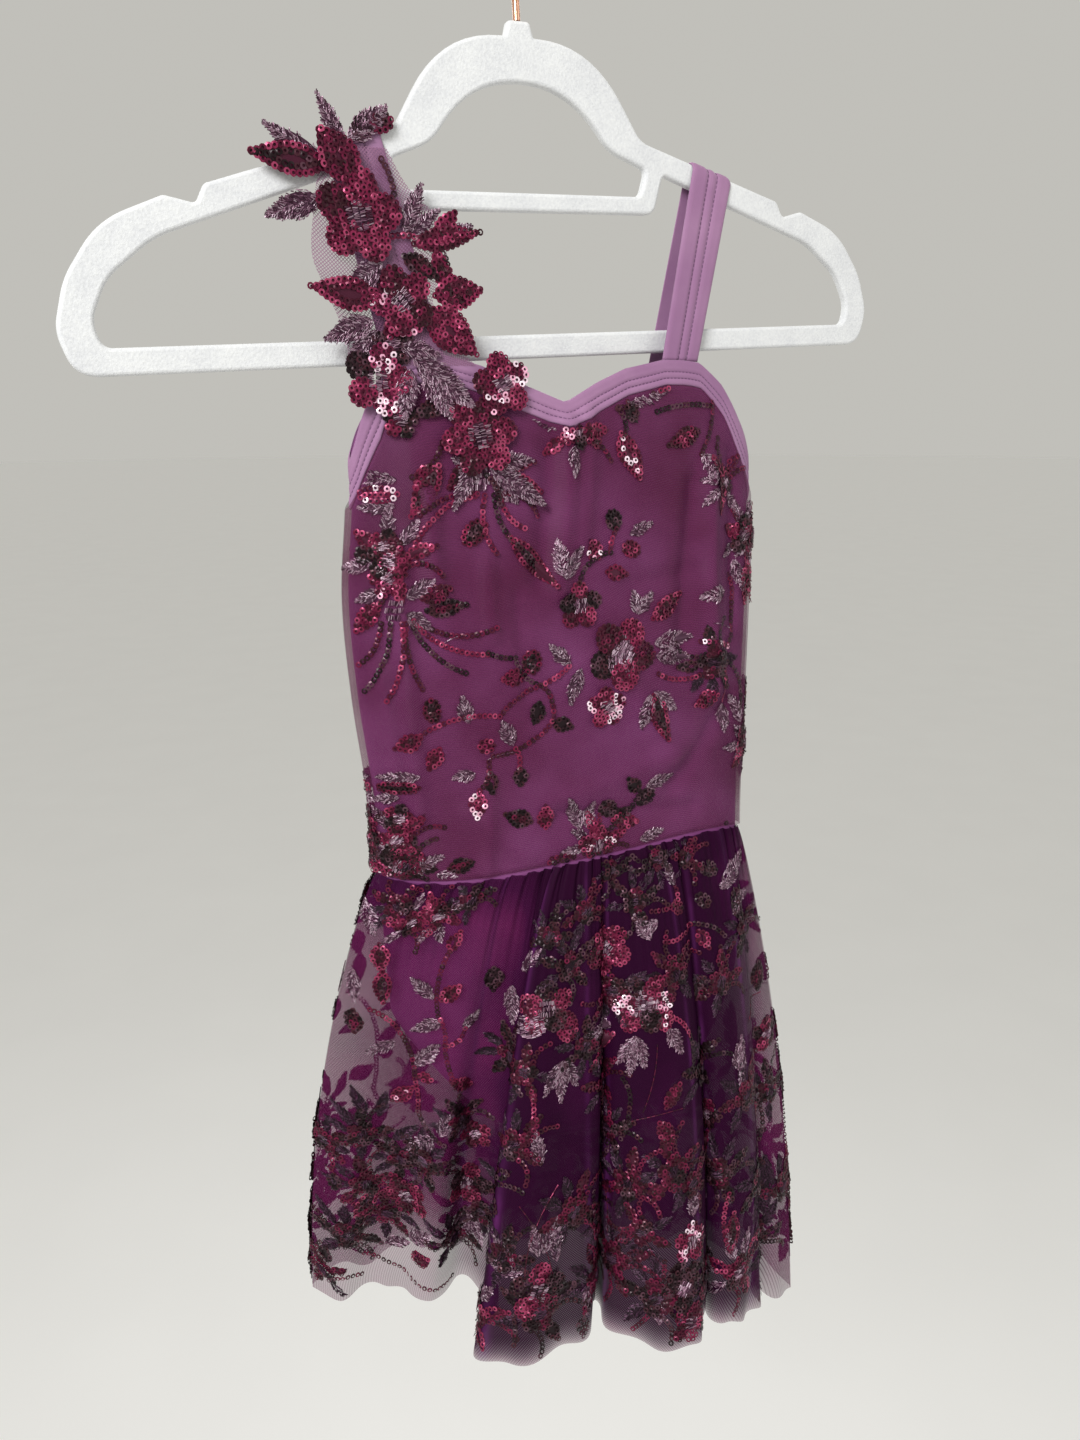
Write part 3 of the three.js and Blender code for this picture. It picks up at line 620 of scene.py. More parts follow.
class Finish:
    """Builds a material's nodes round one Principled shader."""

    def __init__(self, name, **sockets):
        self.material = bpy.data.materials.new(name)
        self.material.use_nodes = True
        self.tree = self.material.node_tree
        self.shader = self.tree.nodes["Principled BSDF"]
        for socket, value in sockets.items():
            self.set(socket.replace("_", " "), value)

    def set(self, socket, value):
        self.feed(self.shader.inputs[socket], value)

    def feed(self, socket, value):
        if isinstance(value, bpy.types.NodeSocket):
            self.tree.links.new(value, socket)
        else:
            socket.default_value = value

    def node(self, kind, inputs=(), **settings):
        made = self.tree.nodes.new("ShaderNode" + kind)
        for name, value in settings.items():
            setattr(made, name, value)
        for socket, value in dict(inputs).items():
            self.feed(made.inputs[socket], value)
        return made

    def math(self, operation, first, second=0.0, third=0.0):
        return self.node("Math", {0: first, 1: second, 2: third}, operation=operation).outputs[0]

    def line(self, factor, slope, start):
        """A straight rise with a factor, from what it is where the factor is 0."""
        return self.math("MULTIPLY_ADD", factor, slope, start)

    def noise(self, name):
        scale, detail = NOISES[name]
        place = self.node("TexCoord").outputs["Object"]
        return self.node("TexNoise", {"Vector": place, "Scale": scale, "Detail": detail}).outputs[0]

    def attribute(self, name, output="Fac"):
        return self.node("Attribute", attribute_name=name).outputs[output]

    def ramp(self, factor, name):
        """The named colours, read by a factor."""
        made = self.node("ValToRGB", {0: factor})
        elements = made.color_ramp.elements
        while len(elements) < len(RAMPS[name]):
            elements.new(0.5)
        for element, (place, colour) in zip(elements, RAMPS[name]):
            element.position = place
            element.color = (*colour, 1)
        return made.outputs[0]

    def bump(self, height, distance, strength=0.6):
        made = self.node("Bump", {"Height": height, "Distance": distance, "Strength": strength})
        self.set("Normal", made.outputs[0])

    def cloth_place(self):
        """Distances across and down the cloth, in metres."""
        return self.node("SeparateXYZ", {0: self.node("UVMap", uv_map="cloth").outputs[0]}).outputs

    def rows(self, along, pitch):
        """A wave with that pitch."""
        return self.math("SINE", self.math("MULTIPLY", along, 2 * math.pi / pitch))

    def thread_grid(self, cell, softness):
        """1 on the threads of a diamond net of that cell size, 0 in its holes."""
        place = self.cloth_place()
        threads = []
        for operation in ("ADD", "SUBTRACT"):
            wave = self.rows(self.math(operation, place[0], place[1]), 2 * cell)
            threads.append(self.math("SUBTRACT", 1.0, self.math("ABSOLUTE", wave)))
        peak = self.math("MAXIMUM", threads[0], threads[1])
        edges = {"From Min": THREAD_EDGE - softness, "From Max": THREAD_EDGE + softness}
        return self.node("MapRange", {"Value": peak, **edges}).outputs[0]


def flock_finish():
    """Short pale fibres: a grainy velvet with darker pits and a soft edge sheen."""
    finish = Finish("flock", Roughness=0.95, Sheen_Weight=0.5, Sheen_Roughness=0.4)
    grain = finish.noise("flock_fibres")
    patches = finish.noise("flock_patches")
    grain_share = 0.6
    mottle = finish.math(
        "ADD",
        finish.math("MULTIPLY", grain, grain_share),
        finish.math("MULTIPLY", patches, 1 - grain_share),
    )
    finish.set("Base Color", finish.ramp(mottle, "flock"))
    finish.bump(grain, distance=0.0004)
    return finish.material


def copper_finish():
    finish = Finish("copper", Metallic=1.0)
    wear = finish.noise("copper_wear")
    finish.set("Base Color", finish.ramp(wear, "copper"))
    finish.set("Roughness", finish.line(wear, slope=0.2, start=0.12))
    return finish.material


def stretch_finish(name):
    """Stretch knit: fine ribs along the cloth, faint mottling and a soft sheen."""
    finish = Finish(name, Roughness=0.5, Specular_IOR_Level=0.25, Sheen_Weight=0.25, Sheen_Roughness=0.35)
    finish.set("Sheen Tint", SHEENS[name])
    finish.set("Base Color", finish.ramp(finish.noise("knit_mottling"), name))
    place = finish.cloth_place()
    ribs = finish.rows(place[0], KNIT_RIB)
    loops = finish.rows(place[1], KNIT_LOOP)
    finish.bump(finish.math("MULTIPLY", ribs, loops), distance=0.00008)
    return finish.material


def overlay_finish():
    """The bodice's net: plum rows close together over the bright cloth."""
    finish = Finish(
        "overlay_net",
        Roughness=0.5,
        Specular_IOR_Level=0.15,
        Sheen_Weight=0.1,
        Sheen_Roughness=0.3,
    )
    finish.set("Sheen Tint", SHEENS["overlay"])
    rows = finish.rows(finish.cloth_place()[1], OVERLAY_ROW)
    # The drift thins the net and lightens its tone in patches: uneven net, and also painted sheen where the
    # cloth beneath shows through
    drift = finish.noise("overlay_drift_and_painted_sheen")
    finish.set("Base Color", finish.ramp(drift, "overlay"))
    cover = finish.line(rows, slope=0.16, start=1.05)
    finish.set("Alpha", finish.line(drift, slope=-0.95, start=cover))
    finish.bump(rows, distance=0.00015)
    return finish.material


def skirt_net_finish():
    """Sheer plum net. Its cover grows with the number of nets that lie over each other."""
    finish = Finish(
        "skirt_net",
        Roughness=0.45,
        Specular_IOR_Level=0.03,
        Sheen_Weight=0.02,
        Sheen_Roughness=0.25,
    )
    finish.set("Sheen Tint", SHEENS["skirt"])
    layers = finish.attribute("layers")
    threads = finish.thread_grid(SKIRT_NET_CELL, softness=0.25)
    single = finish.line(threads, slope=0.26, start=0.38)
    open_share = finish.math("POWER", finish.math("SUBTRACT", 1.0, single), layers)
    finish.set("Alpha", finish.math("SUBTRACT", 1.0, open_share))
    # The colour darkens with the stacked nets: partly the deeper colour of net over net, partly painted
    # shade inside the gathered folds
    deepening_and_painted_shade = 0.12
    tone = finish.line(
        finish.noise("skirt_drift"),
        slope=0.5,
        start=finish.math("MULTIPLY", layers, deepening_and_painted_shade),
    )
    net = finish.ramp(tone, "skirt")
    # Painted sheen: a lighter violet mixed into the net's colour along the fold edges, broken up by noise
    painted_sheen = finish.attribute("painted_sheen")
    broken = finish.line(finish.noise("skirt_painted_sheen_breaks"), slope=3, start=-0.9)
    painted_sheen = finish.math("MULTIPLY", painted_sheen, broken)
    net_and_painted_sheen = finish.node("Mix", {0: painted_sheen, 6: net, 7: PAINTED_FOLD_SHEEN_COLOUR}, data_type="RGBA").outputs[2]
    finish.set("Base Color", net_and_painted_sheen)
    finish.bump(threads, distance=0.00012, strength=0.5)
    return finish.material


def applique_net_finish():
    finish = Finish("applique_net", Roughness=0.6)
    threads = finish.thread_grid(APPLIQUE_NET_CELL, softness=0.2)
    finish.set("Alpha", finish.line(threads, slope=0.75, start=0.08))
    finish.set("Base Color", finish.ramp(finish.noise("applique_drift"), "applique"))
    return finish.material


def sequin_finish():
    """Glossy foil rings, each in its own colour."""
    finish = Finish("sequin", Metallic=0.35, Specular_IOR_Level=0.3)
    finish.set("Base Color", finish.attribute("tint", "Color"))
    finish.set("Roughness", finish.line(finish.noise("sequin_wear"), slope=0.3, start=0.16))
    return finish.material


def seam_finish():
    """The sewing thread of the bindings and straps."""
    finish = Finish("seam_thread", Roughness=0.6)
    finish.set("Base Color", finish.ramp(finish.noise("seam_twist"), "seam"))
    return finish.material


def thread_finish():
    """Metallic thread: a broken glint over a dark twist, each stitch in its own colour. The motifs' dark
    grounds, partly painted shade, share it.
    """
    finish = Finish("thread", Metallic=0.55)
    finish.set("Base Color", finish.attribute("tint", "Color"))
    twist = finish.noise("thread_twist")
    finish.set("Roughness", finish.line(twist, slope=0.35, start=0.2))
    finish.bump(twist, distance=0.0002)
    return finish.material


# Hanger: points of each rounded corner, steps of the rounded edge, and its sharpest soft bend
CORNER_STEPS = 9
ROUNDING_STEPS = 3
PLATE_SOFT_BEND = math.radians(40)


def hanger_outline(rows):
    """A closed outline from half of it, with each corner rounded by its own radius."""
    half = np.stack([rows["across"], rows["level"]], axis=1)
    corners = np.concatenate([half[::-1], half * [-1, 1]])
    radii = np.concatenate([rows["radius"][::-1], rows["radius"]])
    share = np.linspace(0, 1, CORNER_STEPS + 1)[:, None]
    points = []
    neighbours = np.roll(corners, 1, 0), np.roll(corners, -1, 0)
    for here, before, after, radius in zip(corners, *neighbours, radii):
        back, ahead = unit(before - here), unit(after - here)
        cut = radius / math.tan(math.acos(float(back @ ahead)) / 2)
        start, end = here + back * cut, here + ahead * cut
        points.append(start * (1 - share) ** 2 + 2 * here * share * (1 - share) + end * share**2)
    return np.concatenate(points)


def build_hanger_body(finish):
    """The flocked plate, its edges fully rounded."""
    curve = bpy.data.curves.new("hanger_plate", "CURVE")
    curve.dimensions = "2D"
    curve.fill_mode = "BOTH"
    curve.extrude = (HANGER_THICKNESS / 2 - HANGER_ROUNDING) * MM
    curve.bevel_depth = HANGER_ROUNDING * MM
    curve.bevel_resolution = ROUNDING_STEPS
    curve.offset = -HANGER_ROUNDING * MM
    for rows in (HANGER_OUTER, HANGER_ARCH, HANGER_WINDOW):
        outline = hanger_outline(rows) * MM
        spline = curve.splines.new("POLY")
        spline.points.add(len(outline) - 1)
        corners = np.pad(outline, ((0, 0), (0, 2))).astype(np.float32)
        spline.points.foreach_set("co", corners.ravel())
        spline.use_cyclic_u = True
    source = bpy.data.objects.new("hanger_plate", curve)
    bpy.context.scene.collection.objects.link(source)
    graph = bpy.context.evaluated_depsgraph_get()
    mesh = bpy.data.meshes.new_from_object(source.evaluated_get(graph))
    bpy.data.objects.remove(source)
    mesh.transform(
        Matrix.Rotation(HANGER_TILT, 4, "Y")
        @ Matrix.Translation((0, 0, NECK_TOP * MM))
        @ Matrix.Rotation(math.radians(90), 4, "X")
    )
    mesh.set_sharp_from_angle(angle=PLATE_SOFT_BEND)
    mesh.materials.clear()
    mesh.materials.append(finish)
    piece = bpy.data.objects.new("hanger_flocked_plate", mesh)
    bpy.context.scene.collection.objects.link(piece)
    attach(piece, "root")
    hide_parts("hanger_body")


def sweep(path, radius, sides):
    """A round tube along a path, with a point at each end of it."""
    along = unit(np.gradient(path, axis=0))
    beside = unit(np.cross(along, np.array([0.0, 1.0, 0.0])))
    across = np.cross(along, beside)
    turn = np.arange(sides) * 2 * math.pi / sides
    radius = np.broadcast_to(radius, len(path))[:, None, None]
    cos, sin = np.cos(turn)[None, :, None], np.sin(turn)[None, :, None]
    ring = cos * beside[:, None] + sin * across[:, None]
    points = (path[:, None] + ring * radius).reshape(-1, 3)
    at = np.arange(len(path) * sides).reshape(len(path), sides)
    nearer, further = at[:-1], at[1:]
    faces = np.stack([nearer, np.roll(nearer, -1, 1), np.roll(further, -1, 1), further], axis=-1)
    return points, faces.reshape(-1, 4).tolist() + [at[0][::-1].tolist(), at[-1].tolist()]


# Hook: how far its bend's curve reaches out of the shank and the loop, the points along it
# and round it, and the rounding of its tip
HOOK_BEND_REACH = 9
HOOK_LOOP_POINTS = 60
HOOK_BEND_POINTS = 14
SHANK_POINTS = 8
WIRE_SIDES = 16
WIRE_TIP_ROUNDING = 1.5
WIRE_SOFT_BEND = math.radians(50)


def build_hook(finish):
    """The wire rises from the neck, bends out and runs round in one open loop."""
    loop_radius = HOOK_INNER_RADIUS + WIRE_RADIUS
    foot = NECK_TOP + SEAM_GAP
    turn = np.linspace(HOOK_START_ANGLE, HOOK_END_ANGLE, HOOK_LOOP_POINTS)
    loop = np.stack([np.cos(turn), np.sin(turn)], axis=1) * loop_radius - [0, HOOK_INNER_RADIUS]
    shank_top = np.array([0, foot + SHANK_STRAIGHT])
    t = np.linspace(0, 1, HOOK_BEND_POINTS)[1:-1, None]
    rising = shank_top + [0, HOOK_BEND_REACH]
    way_back = np.array([math.sin(HOOK_START_ANGLE), -math.cos(HOOK_START_ANGLE)])
    leaving = loop[0] + HOOK_BEND_REACH * way_back
    from_shank = shank_top * (1 - t) ** 3 + 3 * rising * t * (1 - t) ** 2
    bend = from_shank + 3 * leaving * t * t * (1 - t) + loop[0] * t**3
    rise = np.linspace(foot, shank_top[1], SHANK_POINTS)
    straight = np.stack([np.zeros(SHANK_POINTS), rise], axis=1)
    path = np.concatenate([straight, bend, loop])
    path = hanger_point(path[:, 0], 0, path[:, 1] - NECK_TOP)
    radius = np.full(len(path), float(WIRE_RADIUS))
    radius[-1] = WIRE_RADIUS - WIRE_TIP_ROUNDING
    radius[-2] = WIRE_RADIUS - WIRE_TIP_ROUNDING / 4
    points, faces = sweep(path, radius, WIRE_SIDES)
    piece = make_piece("hanger_hook_wire", points, faces, finish)
    piece.data.set_sharp_from_angle(angle=WIRE_SOFT_BEND)
    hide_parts("hanger_hook")


def build_body(finishes):
    """The bodice, its overlay net and bindings, the brief and the gusset."""
    seam = SEAM_GAP / 2
    knit = finishes["spandex"]

    def below_waist(side):
        return waist_level(side) + seam

    def above_waist(side):
        return waist_level(side) - seam

    for facing, where, top in ((1, "front", front_top), (-1, "back", back_top)):
        walls = panel(facing, top, below_waist, BODICE_ROWS)
        cloth = make_wall(f"bodice_{where}_cloth", *walls, knit)
        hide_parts(f"bodice_{where}")
        walls = panel(facing, above_waist, leg_level, BRIEF_ROWS)
        brief = make_wall(f"brief_{where}_cloth", *walls, knit)
        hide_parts(f"brief_{where}")
        side = facing * np.linspace(-1, 1, PANEL_COLUMNS)[None, :]
        share = np.linspace(0, 1, BODICE_ROWS)[:, None]
        level = mix(binding_level(side, facing) - SEAM_GAP, below_waist(side), share)
        net_points = body_grid(facing, side, level, net_lift(side))
        net = make_sheet(f"bodice_{where}_overlay", net_points, finishes["overlay"])
        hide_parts(f"bodice_{where}_net")
        band = build_binding(facing, where, top, finishes)
        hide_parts(f"binding_{where}")
    build_gusset(knit)


# Rows of machine stitches: their length, the gap between them and how far they stand proud
SEAM_STITCH = 1.5
SEAM_STITCH_GAP = 0.9
SEAM_LIFT = 0.05
SEAM_HEIGHT = 0.3
BINDING_GROOVES = (0.48, 0.74)
STRAP_GROOVES = (0.41, 0.63)


def build_seam(name, lines, directions, finish):
    """Machine stitches one after another along lines on a surface."""
    starts, ends, ups = [], [], []
    for line, up in zip(lines, directions):
        reach = line_reach(line)
        begin = np.arange(0, reach[-1] - SEAM_STITCH, SEAM_STITCH + SEAM_STITCH_GAP)
        starts.append(line_at(line, reach, begin))
        ends.append(line_at(line, reach, begin + SEAM_STITCH))
        ups.append(line_at(up, reach, begin))
    starts, ends, ups = (np.concatenate(kept) for kept in (starts, ends, ups))
    points, faces = stitch_prisms(starts, ends, ups, SEAM_LIFT, SEAM_HEIGHT)
    piece = make_piece(name, points, faces, finish)


# The cut edge's binding: how far its surface stands out across its width, from the top edge.
BINDING_PROFILE = table("""
    share rise
    0 0
    0.04 0.8
    0.14 1.1
    0.36 1.1
    0.44 0.8
    0.48 0.3
    0.52 0.8
    0.6 1.0
    0.68 0.8
    0.74 0.3
    0.8 0.9
    0.88 1.1
    0.96 0.9
    1 0.3
""")


# How far the binding stands over the cloth's cut edge, and presses into the cloth
BINDING_OVERLAP = 1
BINDING_PRESS = 0.1


def build_binding(facing, where, top, finishes):
    """The binding of one panel's upper edge, with its two rows of stitches."""
    side = facing * np.linspace(-1, 1, PANEL_COLUMNS)[None, :]
    share = np.linspace(0, 1, BINDING_ROWS)[:, None]
    level = mix(top(side) + BINDING_OVERLAP, binding_level(side, facing), share)
    rise = np.interp(share, BINDING_PROFILE["share"], BINDING_PROFILE["rise"]) * CLOTH
    outer = body_grid(facing, side, level, LAYER_GAP + rise + 0 * side)
    inner = body_grid(facing, side, level, LAYER_GAP - BINDING_PRESS)
    rows = [round(groove * (len(share) - 1)) for groove in BINDING_GROOVES]
    name = f"binding_{where}_stitches"
    build_seam(name, outer[rows], grid_normals(outer)[rows], finishes["seam"])
    return make_wall(f"binding_{where}_band", outer, inner, finishes["binding"])


def build_gusset(finish):
    """The strip that turns under from the front's lowest edge to the back's."""
    section = body_section(CROTCH_LEVEL)
    across = np.linspace(-GUSSET_HALF_WIDTH, GUSSET_HALF_WIDTH, GUSSET_COLUMNS)[None, :]
    angle = np.linspace(0, math.pi, GUSSET_ROWS)[:, None]
    middle = (section["front"] - section["back"]) / 2
    reach = (section["front"] + section["back"]) / 2
    forward = middle + reach * np.cos(angle)
    level = CROTCH_LEVEL - SEAM_GAP - GUSSET_DROP * np.sin(angle)
    points = section_point(section["x"], section["y"], section["turn"], across, forward, level)
    piece = make_wall("gusset_cloth", points, points - grid_normals(points) * CLOTH, finish)
    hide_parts("gusset")


# A strap's surface across its width, from its left edge: three ribs between stitched grooves.
STRAP_PROFILE = table("""
    share rise
    0 0.35
    0.03 0.9
    0.09 1.2
    0.32 1.2
    0.37 0.95
    0.41 0.35
    0.45 0.95
    0.52 1.2
    0.59 0.95
    0.63 0.35
    0.67 0.95
    0.74 1.2
    0.9 1.2
    0.97 0.9
    1 0.35
""")


def strap_grid(strap):
    """A strap's under side as a grid, and how far across it each column is."""
    u = np.linspace(0, 1, STRAP_COLUMNS)
    up = np.linspace(0, 1, STRAP_RUN_ROWS)
    over = np.linspace(1, 2, STRAP_BEND_ROWS)[1:-1]
    down = np.linspace(2, 3, STRAP_RUN_ROWS)
    along = np.concatenate([up, over, down])
    points = np.stack([strap_point(strap, u, place) for place in along[::-1]])
    return points, u


# The ribbon inside a strap: its edges across the strap and how far it stands off it
LINING_EDGES = (0.42, 0.96)
LINING_LIFT = 0.06


def build_strap(name, strap, node, finishes):
    """A strap with its two rows of stitches and the ribbon inside it."""
    points, u = strap_grid(strap)
    inside = points - grid_normals(points) * LINING_LIFT
    first, last = (round(edge * (len(u) - 1)) for edge in LINING_EDGES)
    lining = make_sheet(f"{name}_lining", inside[:, first : last + 1], finishes["lining"])
    rise = np.interp(u, STRAP_PROFILE["share"], STRAP_PROFILE["rise"]) * STRAP_THICKNESS
    rise = rise / STRAP_PROFILE["rise"].max()
    outer = points + grid_normals(points) * rise[None, :, None]
    columns = [round(groove * (len(u) - 1)) for groove in STRAP_GROOVES]
    lines = outer[:, columns].swapaxes(0, 1)
    directions = grid_normals(outer)[:, columns].swapaxes(0, 1)
    build_seam(f"{name}_stitches", lines, directions, finishes["seam"])
    piece = make_wall(name, outer, points, finishes["binding"])
    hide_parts(node)


def make_sheet(name, points, finish, values=None):
    """A single layer of net over a grid of points."""
    faces = grid_faces(*points.shape[:2])
    return make_piece(name, points, faces, finish, cloth_map(points), values)


# Finer gathers than the solids have: waves round the skirt and ripples of its raw hem.
GATHERS_PER_FOLD = 3
FINE_GATHER_RISE = 0.55
FINE_GATHER_LENGTH = 0.4
HEM_RIPPLE_START = 0.72
HEM_RIPPLE_RISE = 2.2
HEM_RIPPLE_DROP = 1.2
SKIRT_LIFT = 1.0
# How far the spacing of the fine gathers drifts, and how fast
GATHER_DRIFT = 0.35
GATHER_DRIFT_PACE = 1.7
# Waves along the hem: their pace, then how far and how fast that drifts
HEM_RIPPLE_WAVE = (2.6, 1.1, 0.9)
HEM_DROP_WAVE = (3.9, 0.8, 1.3)
# The ripple's second wave: its strength, its pace and where it starts
HEM_SECOND_WAVE = (0.6, 5.3, 2)
# Painted sheen along the fold edges, a lighter violet mixed into the net's colour: their place along the
# front's folds, from the waist to the hem, their width and strength
PAINTED_FOLD_SHEENS = table("""
    fold hem_fold width strength
    7.9 8.3 0.14 1
    10.2 10.8 0.1 0.5
    12.4 12.7 0.12 0.9
    15.4 15.2 0.1 0.6
    17.3 17.4 0.14 1
    19.4 19.6 0.12 0.7
    4.6 5.0 0.12 0.5
""")
# Nets that the gathers add at the waist, and how soon they spread as a share of the fall
# The added nets also darken the colour at the waist seam, partly as painted shade of the gathers
WAIST_GATHER_LAYERS = 2.5
WAIST_GATHER_LENGTH = 0.07
# The lowest share of the fall, where the folds open to a single net
SINGLE_HEM_SHARE = {"front": 0.05, "back": 0.14}


def drifting_wave(place, pace, drift, drift_pace):
    return np.sin(pace * place + drift * np.sin(drift_pace * place))


def skirt_grid(folds, facing):
    """The skirt's net as a grid, its columns from left to right as seen from its outer side."""
    edge = len(folds["waist"]) - 1
    fold = np.linspace(0, edge, edge * COLUMNS_PER_FOLD + 1)[None, :]
    if facing < 0:
        fold = fold[:, ::-1]
    fall = np.linspace(0, 1, SKIRT_ROWS)[:, None]
    points = skirt_point(folds, facing, fold, fall)
    settled = np.clip(np.minimum(fold, edge - fold), 0, 1)
    drift = GATHER_DRIFT * np.sin(GATHER_DRIFT_PACE * fold)
    gather = np.sin(2 * math.pi * (GATHERS_PER_FOLD * fold + drift))
    relief = FINE_GATHER_RISE * gather * np.clip(1 - fall / FINE_GATHER_LENGTH, 0, 1)
    low = np.clip((fall - HEM_RIPPLE_START) / (1 - HEM_RIPPLE_START), 0, 1) ** 2
    strength, pace, start = HEM_SECOND_WAVE
    ripple = drifting_wave(fold, *HEM_RIPPLE_WAVE) + strength * np.sin(pace * fold + start)
    relief = relief + HEM_RIPPLE_RISE * low * ripple
    points = points + grid_normals(points) * (SKIRT_LIFT + relief * settled)[..., None]
    points[..., 2] += HEM_RIPPLE_DROP * low * settled * drifting_wave(fold, *HEM_DROP_WAVE)
    return points, fold


def build_skirt(finish):
    for facing, where, folds in ((1, "front", SKIRT_FRONT_FOLDS), (-1, "back", SKIRT_BACK_FOLDS)):
        points, fold = skirt_grid(folds, facing)
        fall = np.linspace(0, 1, SKIRT_ROWS)[:, None]
        layers = smooth_value(folds, "row", "layers", fold)
        layers = layers + WAIST_GATHER_LAYERS * np.exp(-fall / WAIST_GATHER_LENGTH)
        layers = 1 + (layers - 1) * np.clip((1 - fall) / SINGLE_HEM_SHARE[where], 0, 1)
        # Painted sheen along the fold edges, as a point attribute
        painted_sheen = 0 * layers
        for start, end, width, strength in zip(*PAINTED_FOLD_SHEENS.values()):
            painted_sheen = painted_sheen + strength * np.exp(-(((fold - mix(start, end, fall)) / width) ** 2))
        values = {"layers": layers.ravel(), "painted_sheen": painted_sheen.ravel()}
        piece = make_sheet(f"skirt_{where}_net", points, finish, values)
        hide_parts(f"skirt_{where}")


class Cloth:
    """A grid of cloth, read by millimetres across from its middle line and down from its top.

    "room" says how far each point is inside the stretch that may be embroidered. A round
    cloth closes on itself. "middle" is what the distance across is in its middle.
    """

    def __init__(self, points, room, drops, middle=0.0, is_round=False):
        self.middle = middle
        self.is_round = is_round
        steps = np.linalg.norm(np.diff(points, axis=1), axis=2)
        reach = np.pad(np.cumsum(steps, axis=1), ((0, 0), (1, 0)))
        self.widths = reach[:, -1]
        self.drops = np.asarray(drops, float)
        facts = np.concatenate([points, room[..., None]], axis=2)
        share = np.linspace(0, 1, points.shape[1])
        even = [
            [np.interp(share, along / along[-1], row[:, fact]) for fact in range(4)]
            for along, row in zip(reach, facts)
        ]
        even = np.moveaxis(np.array(even), 1, 2)
        self.facts = np.concatenate([even, grid_normals(even[..., :3])], axis=2)

    def read(self, across, drop):
        """Points, outward directions and room at places on the cloth."""
        rows, columns = self.facts.shape[:2]
        row = np.interp(drop, self.drops, np.arange(rows))
        width = np.interp(row, np.arange(rows), self.widths)
        share = 0.5 + (across - self.middle) / width
        share = share % 1 if self.is_round else np.clip(share, 0, 1)
        column = share * (columns - 1)
        above = np.minimum(row.astype(int), rows - 2)
        left = np.minimum(column.astype(int), columns - 2)
        down, right = (row - above)[:, None], (column - left)[:, None]
        upper = mix(self.facts[above, left], self.facts[above, left + 1], right)
        lower = mix(self.facts[above + 1, left], self.facts[above + 1, left + 1], right)
        found = mix(upper, lower, down)
        return found[:, :3], unit(found[:, 4:]), found[:, 3]


# Embroidery: ring sequins and stitches of metallic thread
SEQUIN_RADIUS = 1.65
SEQUIN_HOLE = 0.72
SEQUIN_CUP = 0.25
SEQUIN_PITCH = 2.75
SEQUIN_SIDES = 8
SEQUIN_TILT = 0.14
SEQUIN_SCATTER = 0.11
STITCH_WIDTH = 0.52
STITCH_HEIGHT = 0.4
STITCH_HEIGHTS = (0.7, 1.5)
STITCH_CORNERS = 6
STITCH_PITCH = 0.6
EMBROIDERY_LIFT = 0.25
STITCHES_PER_AREA = 1.0
THREAD_SLANT = 34
GROUND_DEPTH = 0.15
# The dark cloth under each motif: partly the cloth itself, partly painted shade between its sequins and
# stitches
GROUND_AND_PAINTED_SHADE_TONES = {
    "magenta": (0.06, 0.005, 0.022),
    "dark": (0.012, 0.003, 0.006),
    "silver": (0.07, 0.024, 0.05),
    "smoke": (0.022, 0.008, 0.018),
}
TONES = {
    "magenta": ((0.13, 0.007, 0.035), (0.19, 0.015, 0.055), (0.07, 0.004, 0.02), (0.3, 0.04, 0.1)),
    "dark": (
        (0.02, 0.006, 0.01), (0.05, 0.012, 0.02), (0.012, 0.004, 0.006),
        # The last dark shade is a painted glint on the black sequins
        (0.075, 0.03, 0.045),
    ),
    "garnet": ((0.12, 0.007, 0.034), (0.06, 0.005, 0.018), (0.03, 0.005, 0.01)),
    # Mostly magenta sequins, among them pale pink-white ones as painted glints
    "bright": (
        (0.8, 0.4, 0.55), (0.3, 0.04, 0.11), (0.13, 0.008, 0.04),
        (0.9, 0.7, 0.8), (0.07, 0.004, 0.02),
    ),
    "silver": (
        (0.3, 0.18, 0.24), (0.22, 0.11, 0.17), (0.09, 0.03, 0.06),
        (0.45, 0.33, 0.4), (0.04, 0.01, 0.025),
    ),
    "smoke": ((0.08, 0.03, 0.065), (0.03, 0.009, 0.022), (0.012, 0.004, 0.009)),
}


# Curves and outlines: points along them, and how far a line is read ahead and behind
CURVE_POINTS = 24
OVAL_POINTS = 25
ROW_POINTS = 15
GROUND_POINTS = 9
LOOK_AHEAD = 0.5

# Motifs: a leaf's fullness, the part of its length that is worked, and how stitches vary
LEAF_FULLNESS = 0.8
LEAF_WORKED = (0.02, 0.98)
STITCHED_LEAF = (0.03, 0.98)
HALF_STITCH = (0.5, 1.1)
SLANT_SCATTER = 16
SHADE_SPREAD = (0.8, 1.2)
THREAD_GROUND_SHARE = 0.85
FAN_SHORTENING = 0.3
# The heart of a flower: bars of stitches, their half length, how uneven they are, how far
# they stand up, and the least of each
BAR_PITCH = 2.8
LEAST_BARS = 3
LEAST_STITCHES = 2
HALF_BAR_STITCH = 1.3
BAR_SCATTER = 0.4
BAR_LIFT = 0.3
BAR_TAPER = 0.05
# A flower for a radius of 1: where its petals' middles are, how long they are, how much they
# overlap, its heart's size, and how far every second petal and the heart stand up
PETAL_AT = 0.6
PETAL_LENGTH = 0.82
PETAL_OVERLAP = 1.04
HEART_SIZE = 0.62
PETAL_RISE = 0.9
CORD_STITCH = 1.6
SEQUIN_AHEAD = 0.7
SEQUIN_CLEARANCE = 0.8

